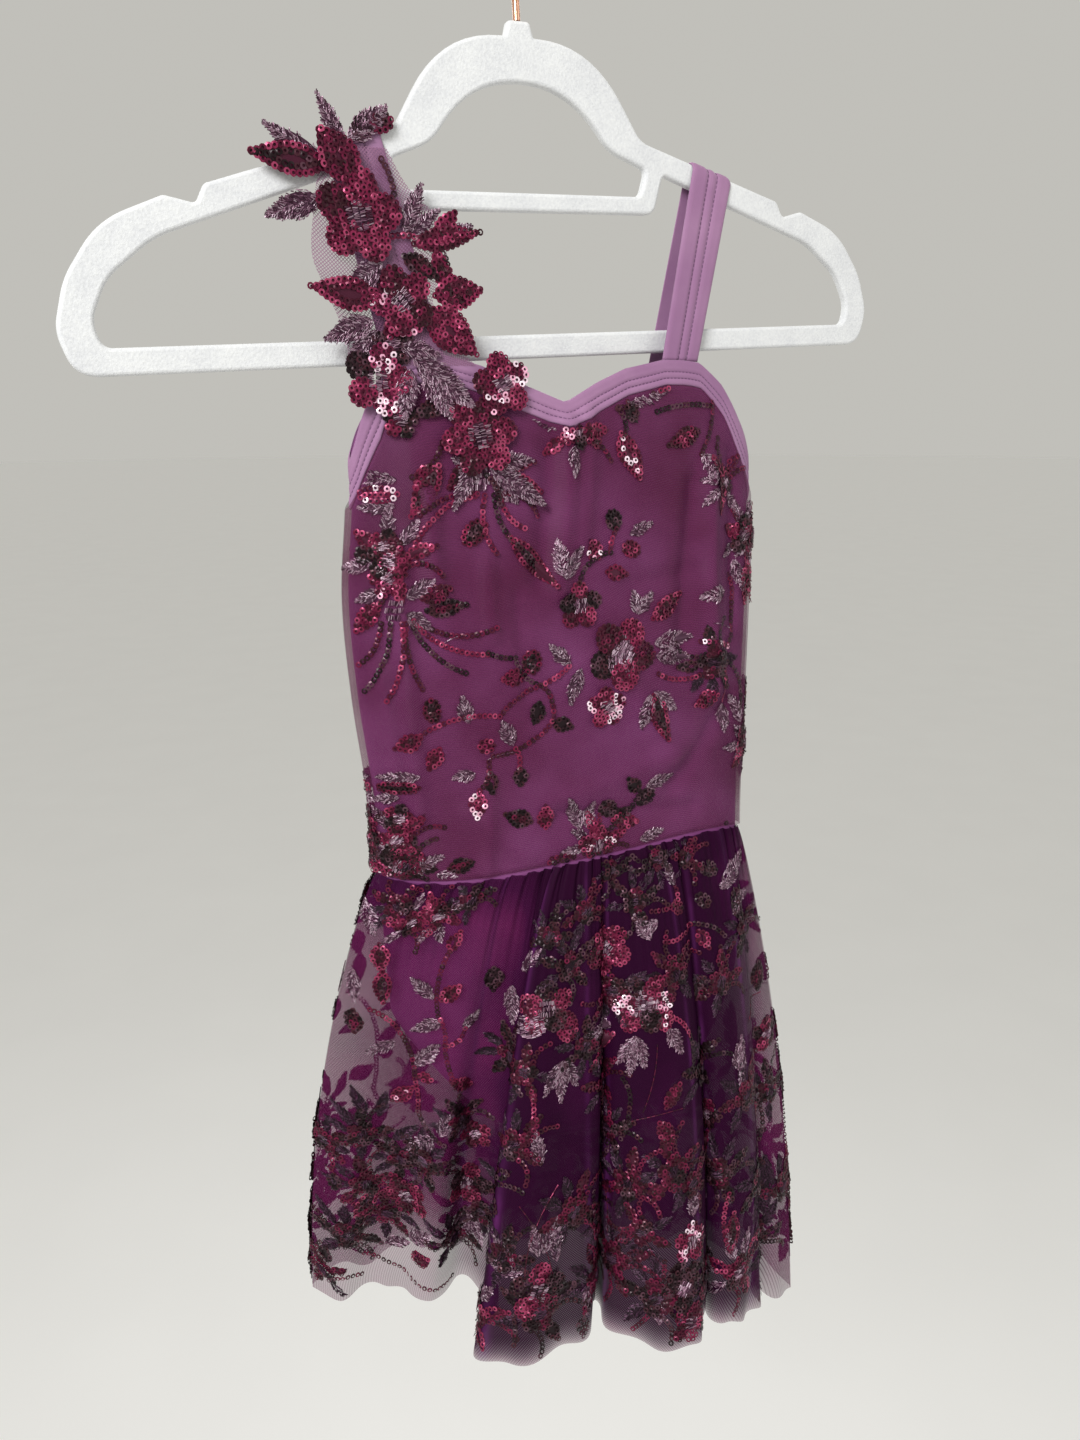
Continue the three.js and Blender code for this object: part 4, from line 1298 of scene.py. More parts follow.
# A bouquet for a size of 1: its flower, where its leaves start, how wide they are, and how
# far its vines' tips and bends stand to the side
BOUQUET_FLOWER = 0.62
BOUQUET_PETALS = 5
BOUQUET_RISE = 0.3
BOUQUET_START = 0.5
BOUQUET_THREAD_WIDTH = 0.45
BOUQUET_SEQUIN_WIDTH = 0.42
BOUQUET_TIP_ASIDE = 0.4
BOUQUET_BEND = 0.25
# Its leaves and vines: their turn, their length, and what they are
BOUQUET = (
    (95, 1.1, "thread"),
    (140, 0.9, "sequin"),
    (55, 0.9, "thread"),
    (190, 1.0, "thread"),
    (15, 1.0, "sequin"),
    (240, 1.1, "vine"),
    (-30, 1.2, "vine"),
    (-70, 0.9, "sequin"),
)


def turned(along, beside, turn):
    """Moves local distances into distances across and down, turned anticlockwise in degrees."""
    cos, sin = math.cos(math.radians(turn)), math.sin(math.radians(turn))
    return np.stack([along * cos - beside * sin, -(along * sin + beside * cos)], axis=-1)


def line_reach(line):
    """How far along a line each of its points is."""
    return np.concatenate([[0], np.cumsum(np.linalg.norm(np.diff(line, axis=0), axis=1))])


def line_at(values, reach, at):
    """Values of a line's points, read at distances along it."""
    return np.stack([np.interp(at, reach, column) for column in values.T], axis=1)


def evenly(line, pitch):
    """Places at an even pitch along a line, with the line's direction at each."""
    reach = line_reach(line)
    count = max(int(round(reach[-1] / pitch)), 1)
    at = np.linspace(0, reach[-1], count + 1)
    return line_at(line, reach, at), unit(
        line_at(line, reach, at + LOOK_AHEAD) - line_at(line, reach, at - LOOK_AHEAD)
    )


def bent_line(start, end, bend):
    """A curve between two places. "bend" is how far its middle stands to the left of the way."""
    start, end = np.array(start, float), np.array(end, float)
    way = end - start
    middle = (start + end) / 2 + 2 * bend * np.array([way[1], -way[0]]) / np.linalg.norm(way)
    t = np.linspace(0, 1, CURVE_POINTS)[:, None]
    return start * (1 - t) ** 2 + 2 * middle * t * (1 - t) + end * t**2


def stitch_prisms(start, end, up, lift, height):
    """Stitches between points as two slopes each, open towards the cloth: corners and faces."""
    beside = unit(np.cross(up, end - start)) * STITCH_WIDTH / 2
    base = up * lift
    top = base + up * height
    points = np.stack(
        [start + base - beside, start + base + beside, start + top,
         end + base - beside, end + base + beside, end + top],
        axis=1,
    )
    first = STITCH_CORNERS * np.arange(len(start))[:, None]
    faces = []
    for corners in ((0, 2, 5, 3), (2, 1, 4, 5)):
        faces += (np.array(corners)[None] + first).tolist()
    return points.reshape(-1, 3), faces


def leaf_half_width(share, width):
    return width / 2 * np.sin(math.pi * np.clip(share, 0, 1) ** LEAF_FULLNESS)


def leaf_rim(along, half, turn):
    """Up one side of a leaf and down the other, from its half widths."""
    return np.concatenate([turned(along, half, turn), turned(along[::-1], -half[::-1], turn)])


class Embroidery:
    """Gathers the sequins and stitches on one cloth, then makes them as two joined meshes."""

    def __init__(self, cloth, seed):
        self.cloth = cloth
        self.random = np.random.default_rng(seed)
        self.rings = []
        self.stitches = []
        self.grounds_with_painted_shade = []

    def colours(self, tone, count):
        """A shade for each sequin or stitch, near one of the tone's own."""
        shades = np.array(TONES[tone])
        chosen = shades[self.random.integers(len(shades), size=count)]
        return chosen * self.random.uniform(*SHADE_SPREAD, (count, 1))

    def chain(self, line, tone, lift=0.0, closed=False):
        """Ring sequins that overlap one after another along a line."""
        places, ways = evenly(line, SEQUIN_PITCH)
        if closed and len(places) > 2:
            places, ways = places[:-1], ways[:-1]
        count = len(places)
        facts = [places, ways, np.full(count, lift), self.colours(tone, count)]
        self.rings.append(np.column_stack(facts))

    def stitch(self, starts, ends, tone, lift=0.0):
        count = len(starts)
        facts = [starts, ends, np.full(count, lift), self.colours(tone, count)]
        self.stitches.append(np.column_stack(facts))

    def ground_and_shade(self, outline, tone, lift):
        """A patch of dark cloth that shows between a motif's sequins or stitches, darkened as painted shade
        between them.
        """
        self.grounds_with_painted_shade.append((outline, lift, tone if tone in GROUND_AND_PAINTED_SHADE_TONES else "magenta"))

    def sequin_leaf(self, across, drop, length, width, turn, edge="magenta", heart=None, lift=0.0):
        """Rows of sequins that follow the leaf's outline, one inside another."""
        at = np.array([across, drop])
        share = np.linspace(*LEAF_WORKED, GROUND_POINTS)
        self.ground_and_shade(at + leaf_rim(length * share, leaf_half_width(share, width), turn), edge, lift)
        inset = SEQUIN_RADIUS / 2
        tone = edge
        share = np.linspace(0, 1, ROW_POINTS)
        while width / 2 - inset > SEQUIN_PITCH / 4:
            half = np.maximum(leaf_half_width(share, width) - inset, 0)
            rim = leaf_rim(mix(inset, length - inset, share), half, turn)
            self.chain(at + rim, tone, lift, closed=True)
            inset += SEQUIN_PITCH
            tone = heart or edge

    def petal(self, across, drop, length, width, turn, tone, edge=None, lift=0.0):
        """Rows of sequins round an oval, one inside another, then a row up its middle."""
        at = np.array([across, drop])
        angle = np.linspace(0, 2 * math.pi, OVAL_POINTS)
        cos, sin = np.cos(angle), np.sin(angle)
        outline = turned(length / 2 * cos[1::2], width / 2 * sin[1::2], turn)
        self.ground_and_shade(at + outline, tone, lift)
        inset = SEQUIN_RADIUS / 2
        now = edge or tone
        while width / 2 - inset > SEQUIN_PITCH / 3:
            oval = turned((length / 2 - inset) * cos, (width / 2 - inset) * sin, turn)
            self.chain(at + oval, now, lift, closed=True)
            inset += SEQUIN_PITCH
            now = tone
        if length / 2 - inset > 0:
            middle = turned(np.array([inset - length / 2, length / 2 - inset]), np.zeros(2), turn)
            self.chain(at + middle, tone, lift)

    def thread_leaf(self, across, drop, length, width, turn, tone="silver", lift=0.0):
        """Short stitches that slant from the midrib, packed close and uneven."""
        count = int(STITCHES_PER_AREA * length * width)
        share = self.random.uniform(*STITCHED_LEAF, count)
        beside = self.random.uniform(-1, 1, count)
        scatter = self.random.normal(0, SLANT_SCATTER, count)
        slant = np.radians(THREAD_SLANT * np.sign(beside) + scatter)
        half = self.random.uniform(*HALF_STITCH, count)
        along, beside = length * share, beside * leaf_half_width(share, width)
        step, sway = half * np.cos(slant), half * np.sin(slant)
        at = np.array([across, drop])
        starts = at + turned(along - step, beside - sway, turn)
        ends = at + turned(along + step, beside + sway, turn)
        self.stitch(starts, ends, tone, lift)
        share = np.linspace(*LEAF_WORKED, GROUND_POINTS)
        half = THREAD_GROUND_SHARE * leaf_half_width(share, width)
        self.ground_and_shade(at + leaf_rim(length * share, half, turn), tone, lift)

    def fan(self, across, drop, length, width, turn, count, spread, tone="silver", lift=0.0):
        """Thread leaves that spread from one base."""
        for place in np.linspace(-spread / 2, spread / 2, int(count)):
            shorter = 1 - FAN_SHORTENING * abs(place) / max(spread, 1)
            self.thread_leaf(across, drop, length * shorter, width, turn + place, tone, lift)

    def mound(self, across, drop, length, width, turn, tone="silver", lift=0.0):
        """A flower's heart: bars of short stitches, one above another."""
        at = np.array([across, drop])
        bars = max(int(length / BAR_PITCH), LEAST_BARS)
        for bar in range(bars):
            along = (bar + 0.5) / bars * length - length / 2
            half = width / 2 * math.sqrt(max(1 - (2 * along / length) ** 2, BAR_TAPER))
            count = max(int(2 * half / STITCH_PITCH), LEAST_STITCHES)
            beside = np.linspace(-half, half, count)
            jitter = self.random.uniform(-BAR_SCATTER, BAR_SCATTER, (3, count))
            starts = turned(along - HALF_BAR_STITCH + jitter[0], beside + jitter[1], turn)
            ends = turned(along + HALF_BAR_STITCH + jitter[2], beside - jitter[1], turn)
            self.stitch(at + starts, at + ends, tone, lift + BAR_LIFT)

    def flower(self, across, drop, radius, petals, turn, tones, heart="silver", lift=0.0):
        """Overlapping petals of sequins round a heart of stitches."""
        for petal in range(int(petals)):
            angle = turn + 360 * petal / petals
            centre = np.array([across, drop]) + turned(PETAL_AT * radius, 0.0, angle)
            width = 2 * math.pi * PETAL_AT * radius / petals * PETAL_OVERLAP
            raised = lift + (PETAL_RISE if petal % 2 else 0.0)
            tone = tones[petal % len(tones)]
            self.petal(*centre, PETAL_LENGTH * radius, width, angle, tone, lift=raised)
        size = HEART_SIZE * radius
        self.mound(across, drop, size, size, turn, heart, lift + PETAL_RISE)

    def bouquet(self, across, drop, size, turn, tone, lift=0.0):
        """A flower with leaves of thread and sequins round it and two curling vines."""
        at = np.array([across, drop])
        heart = "silver" if tone == "magenta" else "smoke"
        vine = "garnet" if tone == "magenta" else tone
        for place, length, kind in BOUQUET:
            way = turn + place
            base = at + turned(BOUQUET_START * size, 0.0, way)
            if kind == "thread":
                width = BOUQUET_THREAD_WIDTH * size
                self.thread_leaf(*base, length * size, width, way, heart, lift)
            elif kind == "sequin":
                width = BOUQUET_SEQUIN_WIDTH * size
                self.sequin_leaf(*base, length * size, width, way, tone, "dark", lift)
            else:
                tip = base + turned(length * size, BOUQUET_TIP_ASIDE * size, way)
                self.strand(*base, *tip, BOUQUET_BEND * size, vine, lift)
        tones = (tone, "garnet", tone, "dark", "garnet")
        radius = BOUQUET_FLOWER * size
        self.flower(across, drop, radius, BOUQUET_PETALS, turn, tones, heart, lift + BOUQUET_RISE)

    def strand(self, across, drop, to_across, to_drop, bend, tone, lift=0.0):
        """A row of sequins along a curve."""
        self.chain(bent_line((across, drop), (to_across, to_drop), bend), tone, lift)

    def cord(self, across, drop, to_across, to_drop, bend, tone, lift=0.0):
        """A thin line of back stitches along a curve."""
        line = bent_line((across, drop), (to_across, to_drop), bend)
        places, _ = evenly(line, CORD_STITCH)
        self.stitch(places[:-1], places[1:], tone, lift)

    def lay(self, motifs):
        """Embroiders tables of motifs, each named for the method that makes it."""
        for kind, rows in motifs.items():
            for row in zip(*rows.values()):
                getattr(self, kind)(**dict(zip(rows, row)))

    def ring_mesh(self):
        """Every sequin as a shallow ring: its points, faces and colours."""
        rows = np.concatenate(self.rings)
        centre, normal, room = self.cloth.read(rows[:, 0], rows[:, 1])
        shown = room > 0
        rows, centre, normal = rows[shown], centre[shown], normal[shown]
        across, drop = (rows[:, :2] + SEQUIN_AHEAD * rows[:, 2:4]).T
        ahead, _, _ = self.cloth.read(across, drop)
        along = unit(ahead - centre)
        beside = unit(np.cross(normal, along))
        along = np.cross(beside, normal)
        tilt = SEQUIN_TILT + self.random.normal(0, SEQUIN_SCATTER, len(rows))[:, None]
        roll = self.random.normal(0, SEQUIN_SCATTER, len(rows))[:, None]
        along = along * np.cos(tilt) + normal * np.sin(tilt)
        beside = unit(beside * np.cos(roll) + normal * np.sin(roll))
        facing = unit(np.cross(along, beside))
        leaning = np.abs(np.sin(tilt)) + np.abs(np.sin(roll))
        raised = EMBROIDERY_LIFT + rows[:, 4:5] + SEQUIN_RADIUS * leaning * SEQUIN_CLEARANCE
        centre = centre + normal * raised
        angle = np.arange(SEQUIN_SIDES) * 2 * math.pi / SEQUIN_SIDES
        cos, sin = np.cos(angle)[None, :, None], np.sin(angle)[None, :, None]
        flat = cos * along[:, None] + sin * beside[:, None]
        outer = centre[:, None] + SEQUIN_RADIUS * flat
        inner = centre[:, None] + SEQUIN_HOLE * flat + SEQUIN_CUP * facing[:, None]
        points = np.concatenate([outer, inner], axis=1)
        each = np.arange(SEQUIN_SIDES)
        after = (each + 1) % SEQUIN_SIDES
        pattern = np.stack([each, after, after + SEQUIN_SIDES, each + SEQUIN_SIDES], axis=1)
        faces = pattern[None] + 2 * SEQUIN_SIDES * np.arange(len(rows))[:, None, None]
        colours = np.repeat(rows[:, 5:], 2 * SEQUIN_SIDES, axis=0)
        return points.reshape(-1, 3), faces.reshape(-1, 4), colours

    def stitch_mesh(self):
        """Every stitch's points, faces and colours."""
        rows = np.concatenate(self.stitches)
        start, up, room = self.cloth.read(rows[:, 0], rows[:, 1])
        end, _, room_end = self.cloth.read(rows[:, 2], rows[:, 3])
        shown = (room > 0) & (room_end > 0)
        rows, start, end, up = rows[shown], start[shown], end[shown], up[shown]
        height = STITCH_HEIGHT * self.random.uniform(*STITCH_HEIGHTS, (len(rows), 1))
        points, faces = stitch_prisms(start, end, up, EMBROIDERY_LIFT + rows[:, 4:5], height)
        return points, faces, np.repeat(rows[:, 5:], STITCH_CORNERS, axis=0)

    def ground_and_shade_mesh(self):
        """The dark cloth under each motif, partly painted shade between its sequins and stitches, as fans
        round the motifs' middles.
        """
        points, faces, colours = np.zeros((0, 3)), [], []
        for outline, lift, tone in self.grounds_with_painted_shade:
            places = np.concatenate([outline.mean(axis=0)[None], outline])
            found, up, room = self.cloth.read(places[:, 0], places[:, 1])
            if room.min() <= 0:
                continue
            edge = len(points) + 1 + np.arange(len(outline))
            middle = np.full(len(outline), len(points))
            faces += np.stack([middle, edge, np.roll(edge, -1)], axis=1).tolist()
            points = np.concatenate([points, found + up * (EMBROIDERY_LIFT + lift - GROUND_DEPTH)])
            colours += [GROUND_AND_PAINTED_SHADE_TONES[tone]] * len(places)
        return points, faces, np.array(colours)

    def build(self, name, finishes):
        """The pieces that came of it: sequins, then threads."""
        points, faces, colours = self.ring_mesh()
        tints = {"tint": colours}
        sequins = make_piece(f"{name}_sequins", points, faces, finishes["sequin"], values=tints)
        points, faces, colours = self.stitch_mesh()
        grounds_with_painted_shade, ground_faces, ground_shade_colours = self.ground_and_shade_mesh()
        faces = faces + [[corner + len(points) for corner in face] for face in ground_faces]
        points = np.concatenate([points, grounds_with_painted_shade])
        tints = {"tint": np.concatenate([colours, ground_shade_colours])}
        threads = make_piece(f"{name}_threads", points, faces, finishes["thread"], values=tints)
        return sequins, threads


# The cloths that are embroidered: how closely they are read down their length, the body's
# stretches round it (facing, first and last side, points) and the margins that stay bare
READ_STEP = 2.5
BODY_READ = (225, 515)
BODY_STRETCHES = ((-1, 0, -1, 70), (1, -1, 1, 160), (-1, 1, 0, 70))
BODY_MARGIN = 1.5
SKIRT_WAIST_MARGIN = 1
SKIRT_HEM_MARGIN = 3


def body_cloth():
    """The overlay net round the body: across from the front's middle, down from the origin."""
    drops = np.arange(*BODY_READ, READ_STEP)
    level = -drops[:, None]
    stretches = []
    for facing, start, end, count in BODY_STRETCHES:
        side = np.linspace(start, end, count)[None, :]
        points = body_grid(facing, side, level, net_lift(side))
        below = binding_level(side, facing) - SEAM_GAP - BODY_MARGIN - level
        above = level - waist_level(side) - BODY_MARGIN
        stretches.append((points, np.minimum(below, above)))
    points = np.concatenate([stretch[0] for stretch in stretches], axis=1)
    room = np.concatenate([stretch[1] for stretch in stretches], axis=1)
    return Cloth(points, room, drops, is_round=True)


def skirt_cloth(folds, facing):
    """A skirt panel: across from its middle, down from the waist seam."""
    points, _ = skirt_grid(folds, facing)
    steps = np.linalg.norm(np.diff(points, axis=0), axis=2).mean(axis=1)
    drops = np.concatenate([[0], np.cumsum(steps)])
    room = np.minimum(drops - SKIRT_WAIST_MARGIN, drops[-1] - SKIRT_HEM_MARGIN - drops)
    return Cloth(points, np.broadcast_to(room[:, None], points.shape[:2]), drops)


# Motifs of the bodice's net: millimetres across from its middle and down from the origin,
# and turns in degrees, anticlockwise from the right.
BODICE_MOTIFS = {
    "bouquet": table("""
    across drop size turn tone
    -3 271 16 70 magenta
    26 254 13 20 dark
    -106 332 17 0 magenta
    -103 484 15 30 magenta
    13 499 14 90 magenta
    -98 500 13 60 dark
    119 331 14 20 magenta
    120 455 14 80 magenta
    150 300 14 60 magenta
    160 400 16 10 dark
"""),
    "flower": table("""
    across drop radius petals turn tones
    2 361 12.5 5 90 magenta+dark+garnet
    27 389 20 5 60 magenta+garnet+dark
    17 418 11.5 5 20 bright+magenta
    -109 325 8.5 5 0 magenta+dark
    -106 341 10 5 30 magenta+bright
    -102 471 8.5 5 0 magenta+dark
    -102 484 8 5 40 garnet+magenta
    -3 269 8.5 5 0 magenta+bright
    13 499 12 5 90 magenta+bright+dark
    -101 500 13 5 60 magenta+dark+bright
    118 330 11 5 20 magenta+dark
    120 452 12 5 70 magenta+garnet
"""),
    "mound": table("""
    across drop length width turn
    -61 292 15 11 90
    26 392 27 15 92
    -101 357 11 9 90
"""),
    "thread_leaf": table("""
    across drop length width turn
    -61 295 17 9 135
    -55 285 18 9 0
    -54 295 18 9 -38
    -7 346 22 10 111
    -6 346 18 9 66
    31 325 15 7 20
    47 386 29 11 4
    48 392 26 10 -8
    38 368 13 8 104
    38 368 14 8 51
    44 414 20 9 -105
    47 413 19 9 -38
    101 361 21 10 -175
    99 427 17 9 -94
    43 468 19 9 16
    3 488 22 9 112
    6 488 17 9 75
    -4 392 17 8 137
    2 395 21 9 -109
    -62 419 15 9 101
    -37 434 16 9 117
    -59 448 13 8 -171
    -96 351 17 9 30
    -94 359 17 9 -33
    -111 348 12 8 -158
    30 257 31 10 13
    79 285 17 9 -52
    -103 293 20 8 178
    -105 306 18 8 180
    -89 447 25 7 180
    -102 459 13 7 -176
    -101 504 26 10 21
    -81 506 13 8 -20
    40 500 16 8 14
    112 344 20 9 -70
    112 440 20 9 110
"""),
    "sequin_leaf": table("""
    across drop length width turn edge heart
    -83 287 16 9 -138 magenta dark
    -62 287 20 11 -144 garnet dark
    -57 287 28 10 2 magenta garnet
    -52 293 28 10 -17 magenta magenta
    47 372 26 11 32 magenta garnet
    46 414 31 11 -71 magenta dark
    90 419 16 10 -160 magenta garnet
    22 486 18 9 -10 magenta magenta
    18 344 14 8 -9 magenta magenta
    -87 425 16 10 -160 magenta garnet
    -30 396 15 9 -176 magenta garnet
    -77 432 15 9 -120 magenta garnet
    -57 459 15 10 -98 bright magenta
    -51 448 13 7 -85 dark dark
    -34 447 12 8 -85 dark garnet
    -26 480 18 10 158 dark garnet
    -18 485 16 9 94 magenta garnet
    -84 358 22 9 5 dark garnet
    -88 352 18 9 17 garnet garnet
    -109 353 20 10 -126 magenta garnet
    26 272 28 13 -69 magenta bright
    79 272 24 10 -161 garnet magenta
    14 337 14 9 129 bright magenta
    -15 423 13 8 -20 dark dark
    -22 411 14 8 -108 dark garnet
    39 470 13 8 132 dark dark
    -43 323 43 9 -41 magenta dark
    -75 503 16 9 11 dark garnet
    22 487 17 8 28 dark dark
    124 346 26 10 -100 magenta garnet
    122 438 24 10 80 garnet magenta
"""),
    "petal": table("""
    across drop length width turn tone edge
    -26 389 13 10 80 dark garnet
    20 317 11 9 124 dark dark
    20 478 13 10 129 dark dark
    43 474 12 9 35 dark dark
    33 333 12 8 -22 magenta magenta
    -113 300 20 8 0 magenta bright
    -81 411 13 9 94 dark garnet
    34 262 10 8 79 dark dark
    -15 263 9 7 79 bright bright
    9 276 10 7 -50 bright magenta
    -102 453 24 7 0 dark magenta
    -119 329 9 8 90 dark dark
    -62 320 15 11 -135 dark magenta
    -7 507 20 10 -8 dark garnet
    -52 433 9 8 0 bright magenta
    69 506 28 8 -7 dark dark
    54 249 16 6 6 magenta magenta
"""),
    "strand": table("""
    across drop to_across to_drop bend tone
    -62 301 -92 310 -3 garnet
    -63 302 -93 324 -5 magenta
    -58 302 -49 331 -4 magenta
    -53 302 -38 328 -3 dark
    -50 302 -35 319 -3 magenta
    -47 301 -28 313 3 garnet
    2 349 20 334 4 dark
    20 334 22 322 1 magenta
    51 403 79 407 -3 magenta
    79 407 103 402 -3 dark
    80 388 104 393 1 bright
    100 406 99 424 0 magenta
    19 491 39 470 -3 dark
    50 262 88 259 2 dark
    89 257 79 285 3 garnet
    -5 393 -21 402 1 magenta
    -21 402 -45 417 -2 garnet
    -45 417 -88 424 -4 magenta
    -21 402 -36 386 3 dark
    -36 386 -51 382 1 dark
    -21 402 -15 414 2 garnet
    -15 414 -26 432 4 magenta
    -26 432 -49 439 2 garnet
    -36 436 -34 447 1 magenta
    -51 442 -57 458 2 garnet
    -80 368 -46 369 -4 garnet
    -90 363 -51 383 -5 magenta
    -91 364 -63 392 -4 dark
    -94 364 -86 399 -3 garnet
    -96 364 -105 404 4 magenta
    -102 364 -117 399 4 dark
    -107 364 -119 385 3 garnet
    87 504 101 501 0 dark
    108 352 104 392 4 garnet
    112 432 106 404 -4 dark
"""),
    "cord": table("""
    across drop to_across to_drop bend tone
    88 378 106 383 1 silver
    -52 441 -36 438 1 silver
    -75 376 -62 372 1 silver
"""),
}

# Motifs of the skirt's front net, down from the waist seam
SKIRT_MOTIFS = {
    "bouquet": table("""
    across drop size turn tone
    -200 240 17 20 dark
    -176 204 16 70 garnet
    -134 188 15 -20 dark
    -132 250 16 30 dark
    -80 215 16 40 dark
    -72 262 17 -10 magenta
    -58 120 15 80 dark
    -40 160 15 30 garnet
    -62 185 15 10 dark
    -4 210 17 50 garnet
    -30 262 19 0 dark
    12 258 17 90 garnet
    -8 60 14 20 dark
    28 84 15 200 garnet
    2 30 13 60 garnet
    40 30 13 0 dark
    66 78 15 120 garnet
    20 140 14 30 garnet
    50 200 16 70 garnet
    46 248 17 10 garnet
    75 262 18 40 dark
    76 190 15 100 garnet
    96 140 15 30 dark
    106 90 14 80 garnet
    112 262 17 120 dark
    130 205 16 20 dark
    140 160 15 60 garnet
    126 62 14 110 dark
    160 262 17 30 magenta
    168 215 16 80 dark
    196 258 17 10 dark
    208 225 15 60 garnet
    176 165 14 100 dark
    -232 270 13 80 garnet
    -104 20 13 200 magenta
    -130 14 12 150 garnet
    -118 24 13 40 magenta
    -88 11 11 90 dark
    -165 165 14 60 dark
    -190 172 12 10 garnet
    -150 190 13 110 dark
    -172 232 14 150 garnet
    -105 235 13 200 dark
    -102 160 13 90 dark
    24 9 11 0 dark
    58 9 11 180 dark
    84 12 11 30 garnet
    -22 40 12 60 dark
    -34 118 13 150 garnet
    4 112 13 70 dark
    34 170 12 10 dark
    -48 226 14 60 dark
    20 226 14 130 dark
    62 226 13 200 garnet
    90 200 12 40 garnet
"""),
    "flower": table("""
    across drop radius petals turn tones
    -95 178 10 5 20 magenta+garnet
    -110 214 15 5 60 magenta+dark+magenta
    -155 218 14 5 30 magenta+garnet
    -21 82 16 5 90 dark+magenta+magenta
    21 58 16.5 5 50 magenta+magenta+garnet
    47 92 18 6 0 bright+magenta+dark
    114 172 10 5 10 dark+garnet
    164 130 11 5 40 dark+magenta
    -29 250 17 5 150 dark+magenta+magenta
    93 233 11 5 90 bright+magenta
    91 258 13 5 60 dark+dark+garnet
    98 278 11 5 0 magenta+garnet
"""),
    "mound": table("""
    across drop length width turn
    -29 91 20 14 10
    47 91 16 19 90
"""),
    "fan": table("""
    across drop length width turn count spread
    -115 240 25 9 -125 3 72
    -11 116 25 9 -92 3 62
    45 111 24 9 -93 3 50
    118 278 34 9 42 4 66
"""),
    "thread_leaf": table("""
    across drop length width turn tone
    -150 16 23 10 -51 silver
    -144 57 20 9 -93 silver
    -99 76 20 9 127 silver
    -97 91 20 9 -162 silver
    -85 95 15 8 34 silver
    -127 104 18 9 -167 silver
    -120 122 25 10 40 silver
    -118 168 18 9 56 silver
    -122 170 29 10 -145 silver
    -184 257 18 9 13 silver
    -165 251 24 10 30 silver
    -44 64 25 10 43 silver
    -51 74 26 10 -97 silver
    -25 174 22 9 98 silver
    49 54 19 9 124 silver
    30 106 27 10 180 silver
    64 108 20 9 -55 silver
    70 27 18 9 115 silver
    106 36 40 12 32 silver
    115 53 22 10 36 silver
    54 45 13 9 -166 silver
    129 124 41 7 -77 silver
    130 144 15 9 104 silver
    -42 230 20 9 130 silver
    -37 236 22 9 165 silver
    -27 228 19 9 100 silver
    -24 228 18 9 62 silver
    4 258 20 8 -101 silver
    -16 237 28 9 88 silver
    79 277 19 8 99 silver
    93 219 15 9 94 silver
    -158 152 22 8 96 smoke
    -164 158 20 8 130 smoke
    -152 156 20 8 60 smoke
    -150 176 22 8 30 smoke
    -176 178 20 8 150 smoke
    186 205 34 10 -66 smoke
    188 212 30 10 -100 smoke
    180 226 28 10 -38 smoke
    184 232 30 10 -122 smoke
"""),
    "sequin_leaf": table("""
    across drop length width turn edge heart
    -131 38 18 11 -78 magenta garnet
    -127 54 23 10 -93 magenta dark
    -61 60 17 12 -94 dark dark
    -146 81 16 11 -98 dark garnet
    -89 44 14 8 79 magenta magenta
    -95 77 18 9 40 magenta garnet
    -101 129 19 9 -43 magenta garnet
    -112 131 10 7 166 magenta magenta
    -141 146 18 10 30 magenta bright
    -207 245 16 8 70 dark dark
    -227 264 16 8 58 dark dark
    -196 206 14 8 66 dark dark
    -191 228 28 11 39 magenta dark
    -169 264 18 9 21 magenta garnet
    32 110 31 10 -144 magenta dark
    67 154 17 9 58 garnet magenta
    64 161 18 9 -52 magenta garnet
    88 58 14 8 -55 magenta magenta
    149 103 20 11 99 dark garnet
    -3 277 12 9 -105 dark dark
    110 205 24 10 70 garnet dark
    150 250 24 10 100 magenta dark
"""),
    "petal": table("""
    across drop length width turn tone edge
    100 22 15 9 159 dark dark
    92 40 11 8 141 dark dark
    69 40 11 8 143 magenta garnet
    93 94 16 9 70 dark dark
    67 71 11 8 -166 dark garnet
    62 103 12 9 90 bright magenta
    -8 96 20 13 -70 magenta magenta
    118 44 14 8 -100 dark dark
"""),
    "strand": table("""
    across drop to_across to_drop bend tone
    -99 133 -98 106 1 garnet
    -98 106 -98 87 -2 magenta
    -98 87 -89 44 2 garnet
    -96 106 -84 95 -2 magenta
    -136 79 -123 95 2 magenta
    -123 95 -123 131 3 garnet
    -123 131 -128 154 1 magenta
    -128 154 -117 174 -3 dark
    -217 226 -200 262 5 dark
    -36 114 -29 148 3 magenta
    30 181 34 166 -1 dark
    34 166 29 149 -2 magenta
    43 174 46 154 -1 dark
    46 154 40 137 -2 dark
    70 27 71 36 1 magenta
    71 36 50 38 2 garnet
    59 58 83 54 -2 magenta
    83 54 107 64 3 dark
    64 101 80 116 2 magenta
    80 116 84 140 2 dark
    171 174 179 197 3 dark
    -45 262 -48 279 1 dark
    64 286 77 241 -5 garnet
    110 285 140 281 4 dark
    -60 262 -88 280 4 garnet
    -200 262 -150 284 -6 garnet
    150 250 140 216 4 magenta
"""),
    "cord": table("""
    across drop to_across to_drop bend tone
    48 162 80 156 2 garnet
    54 156 58 116 -2 garnet
    88 10 88 26 2 garnet
    136 120 152 104 2 garnet
    -38 196 -18 262 6 garnet
    -14 190 -36 240 -5 magenta
    22 190 40 238 5 garnet
    44 190 84 250 -6 magenta
    -196 190 -168 236 5 garnet
"""),
}

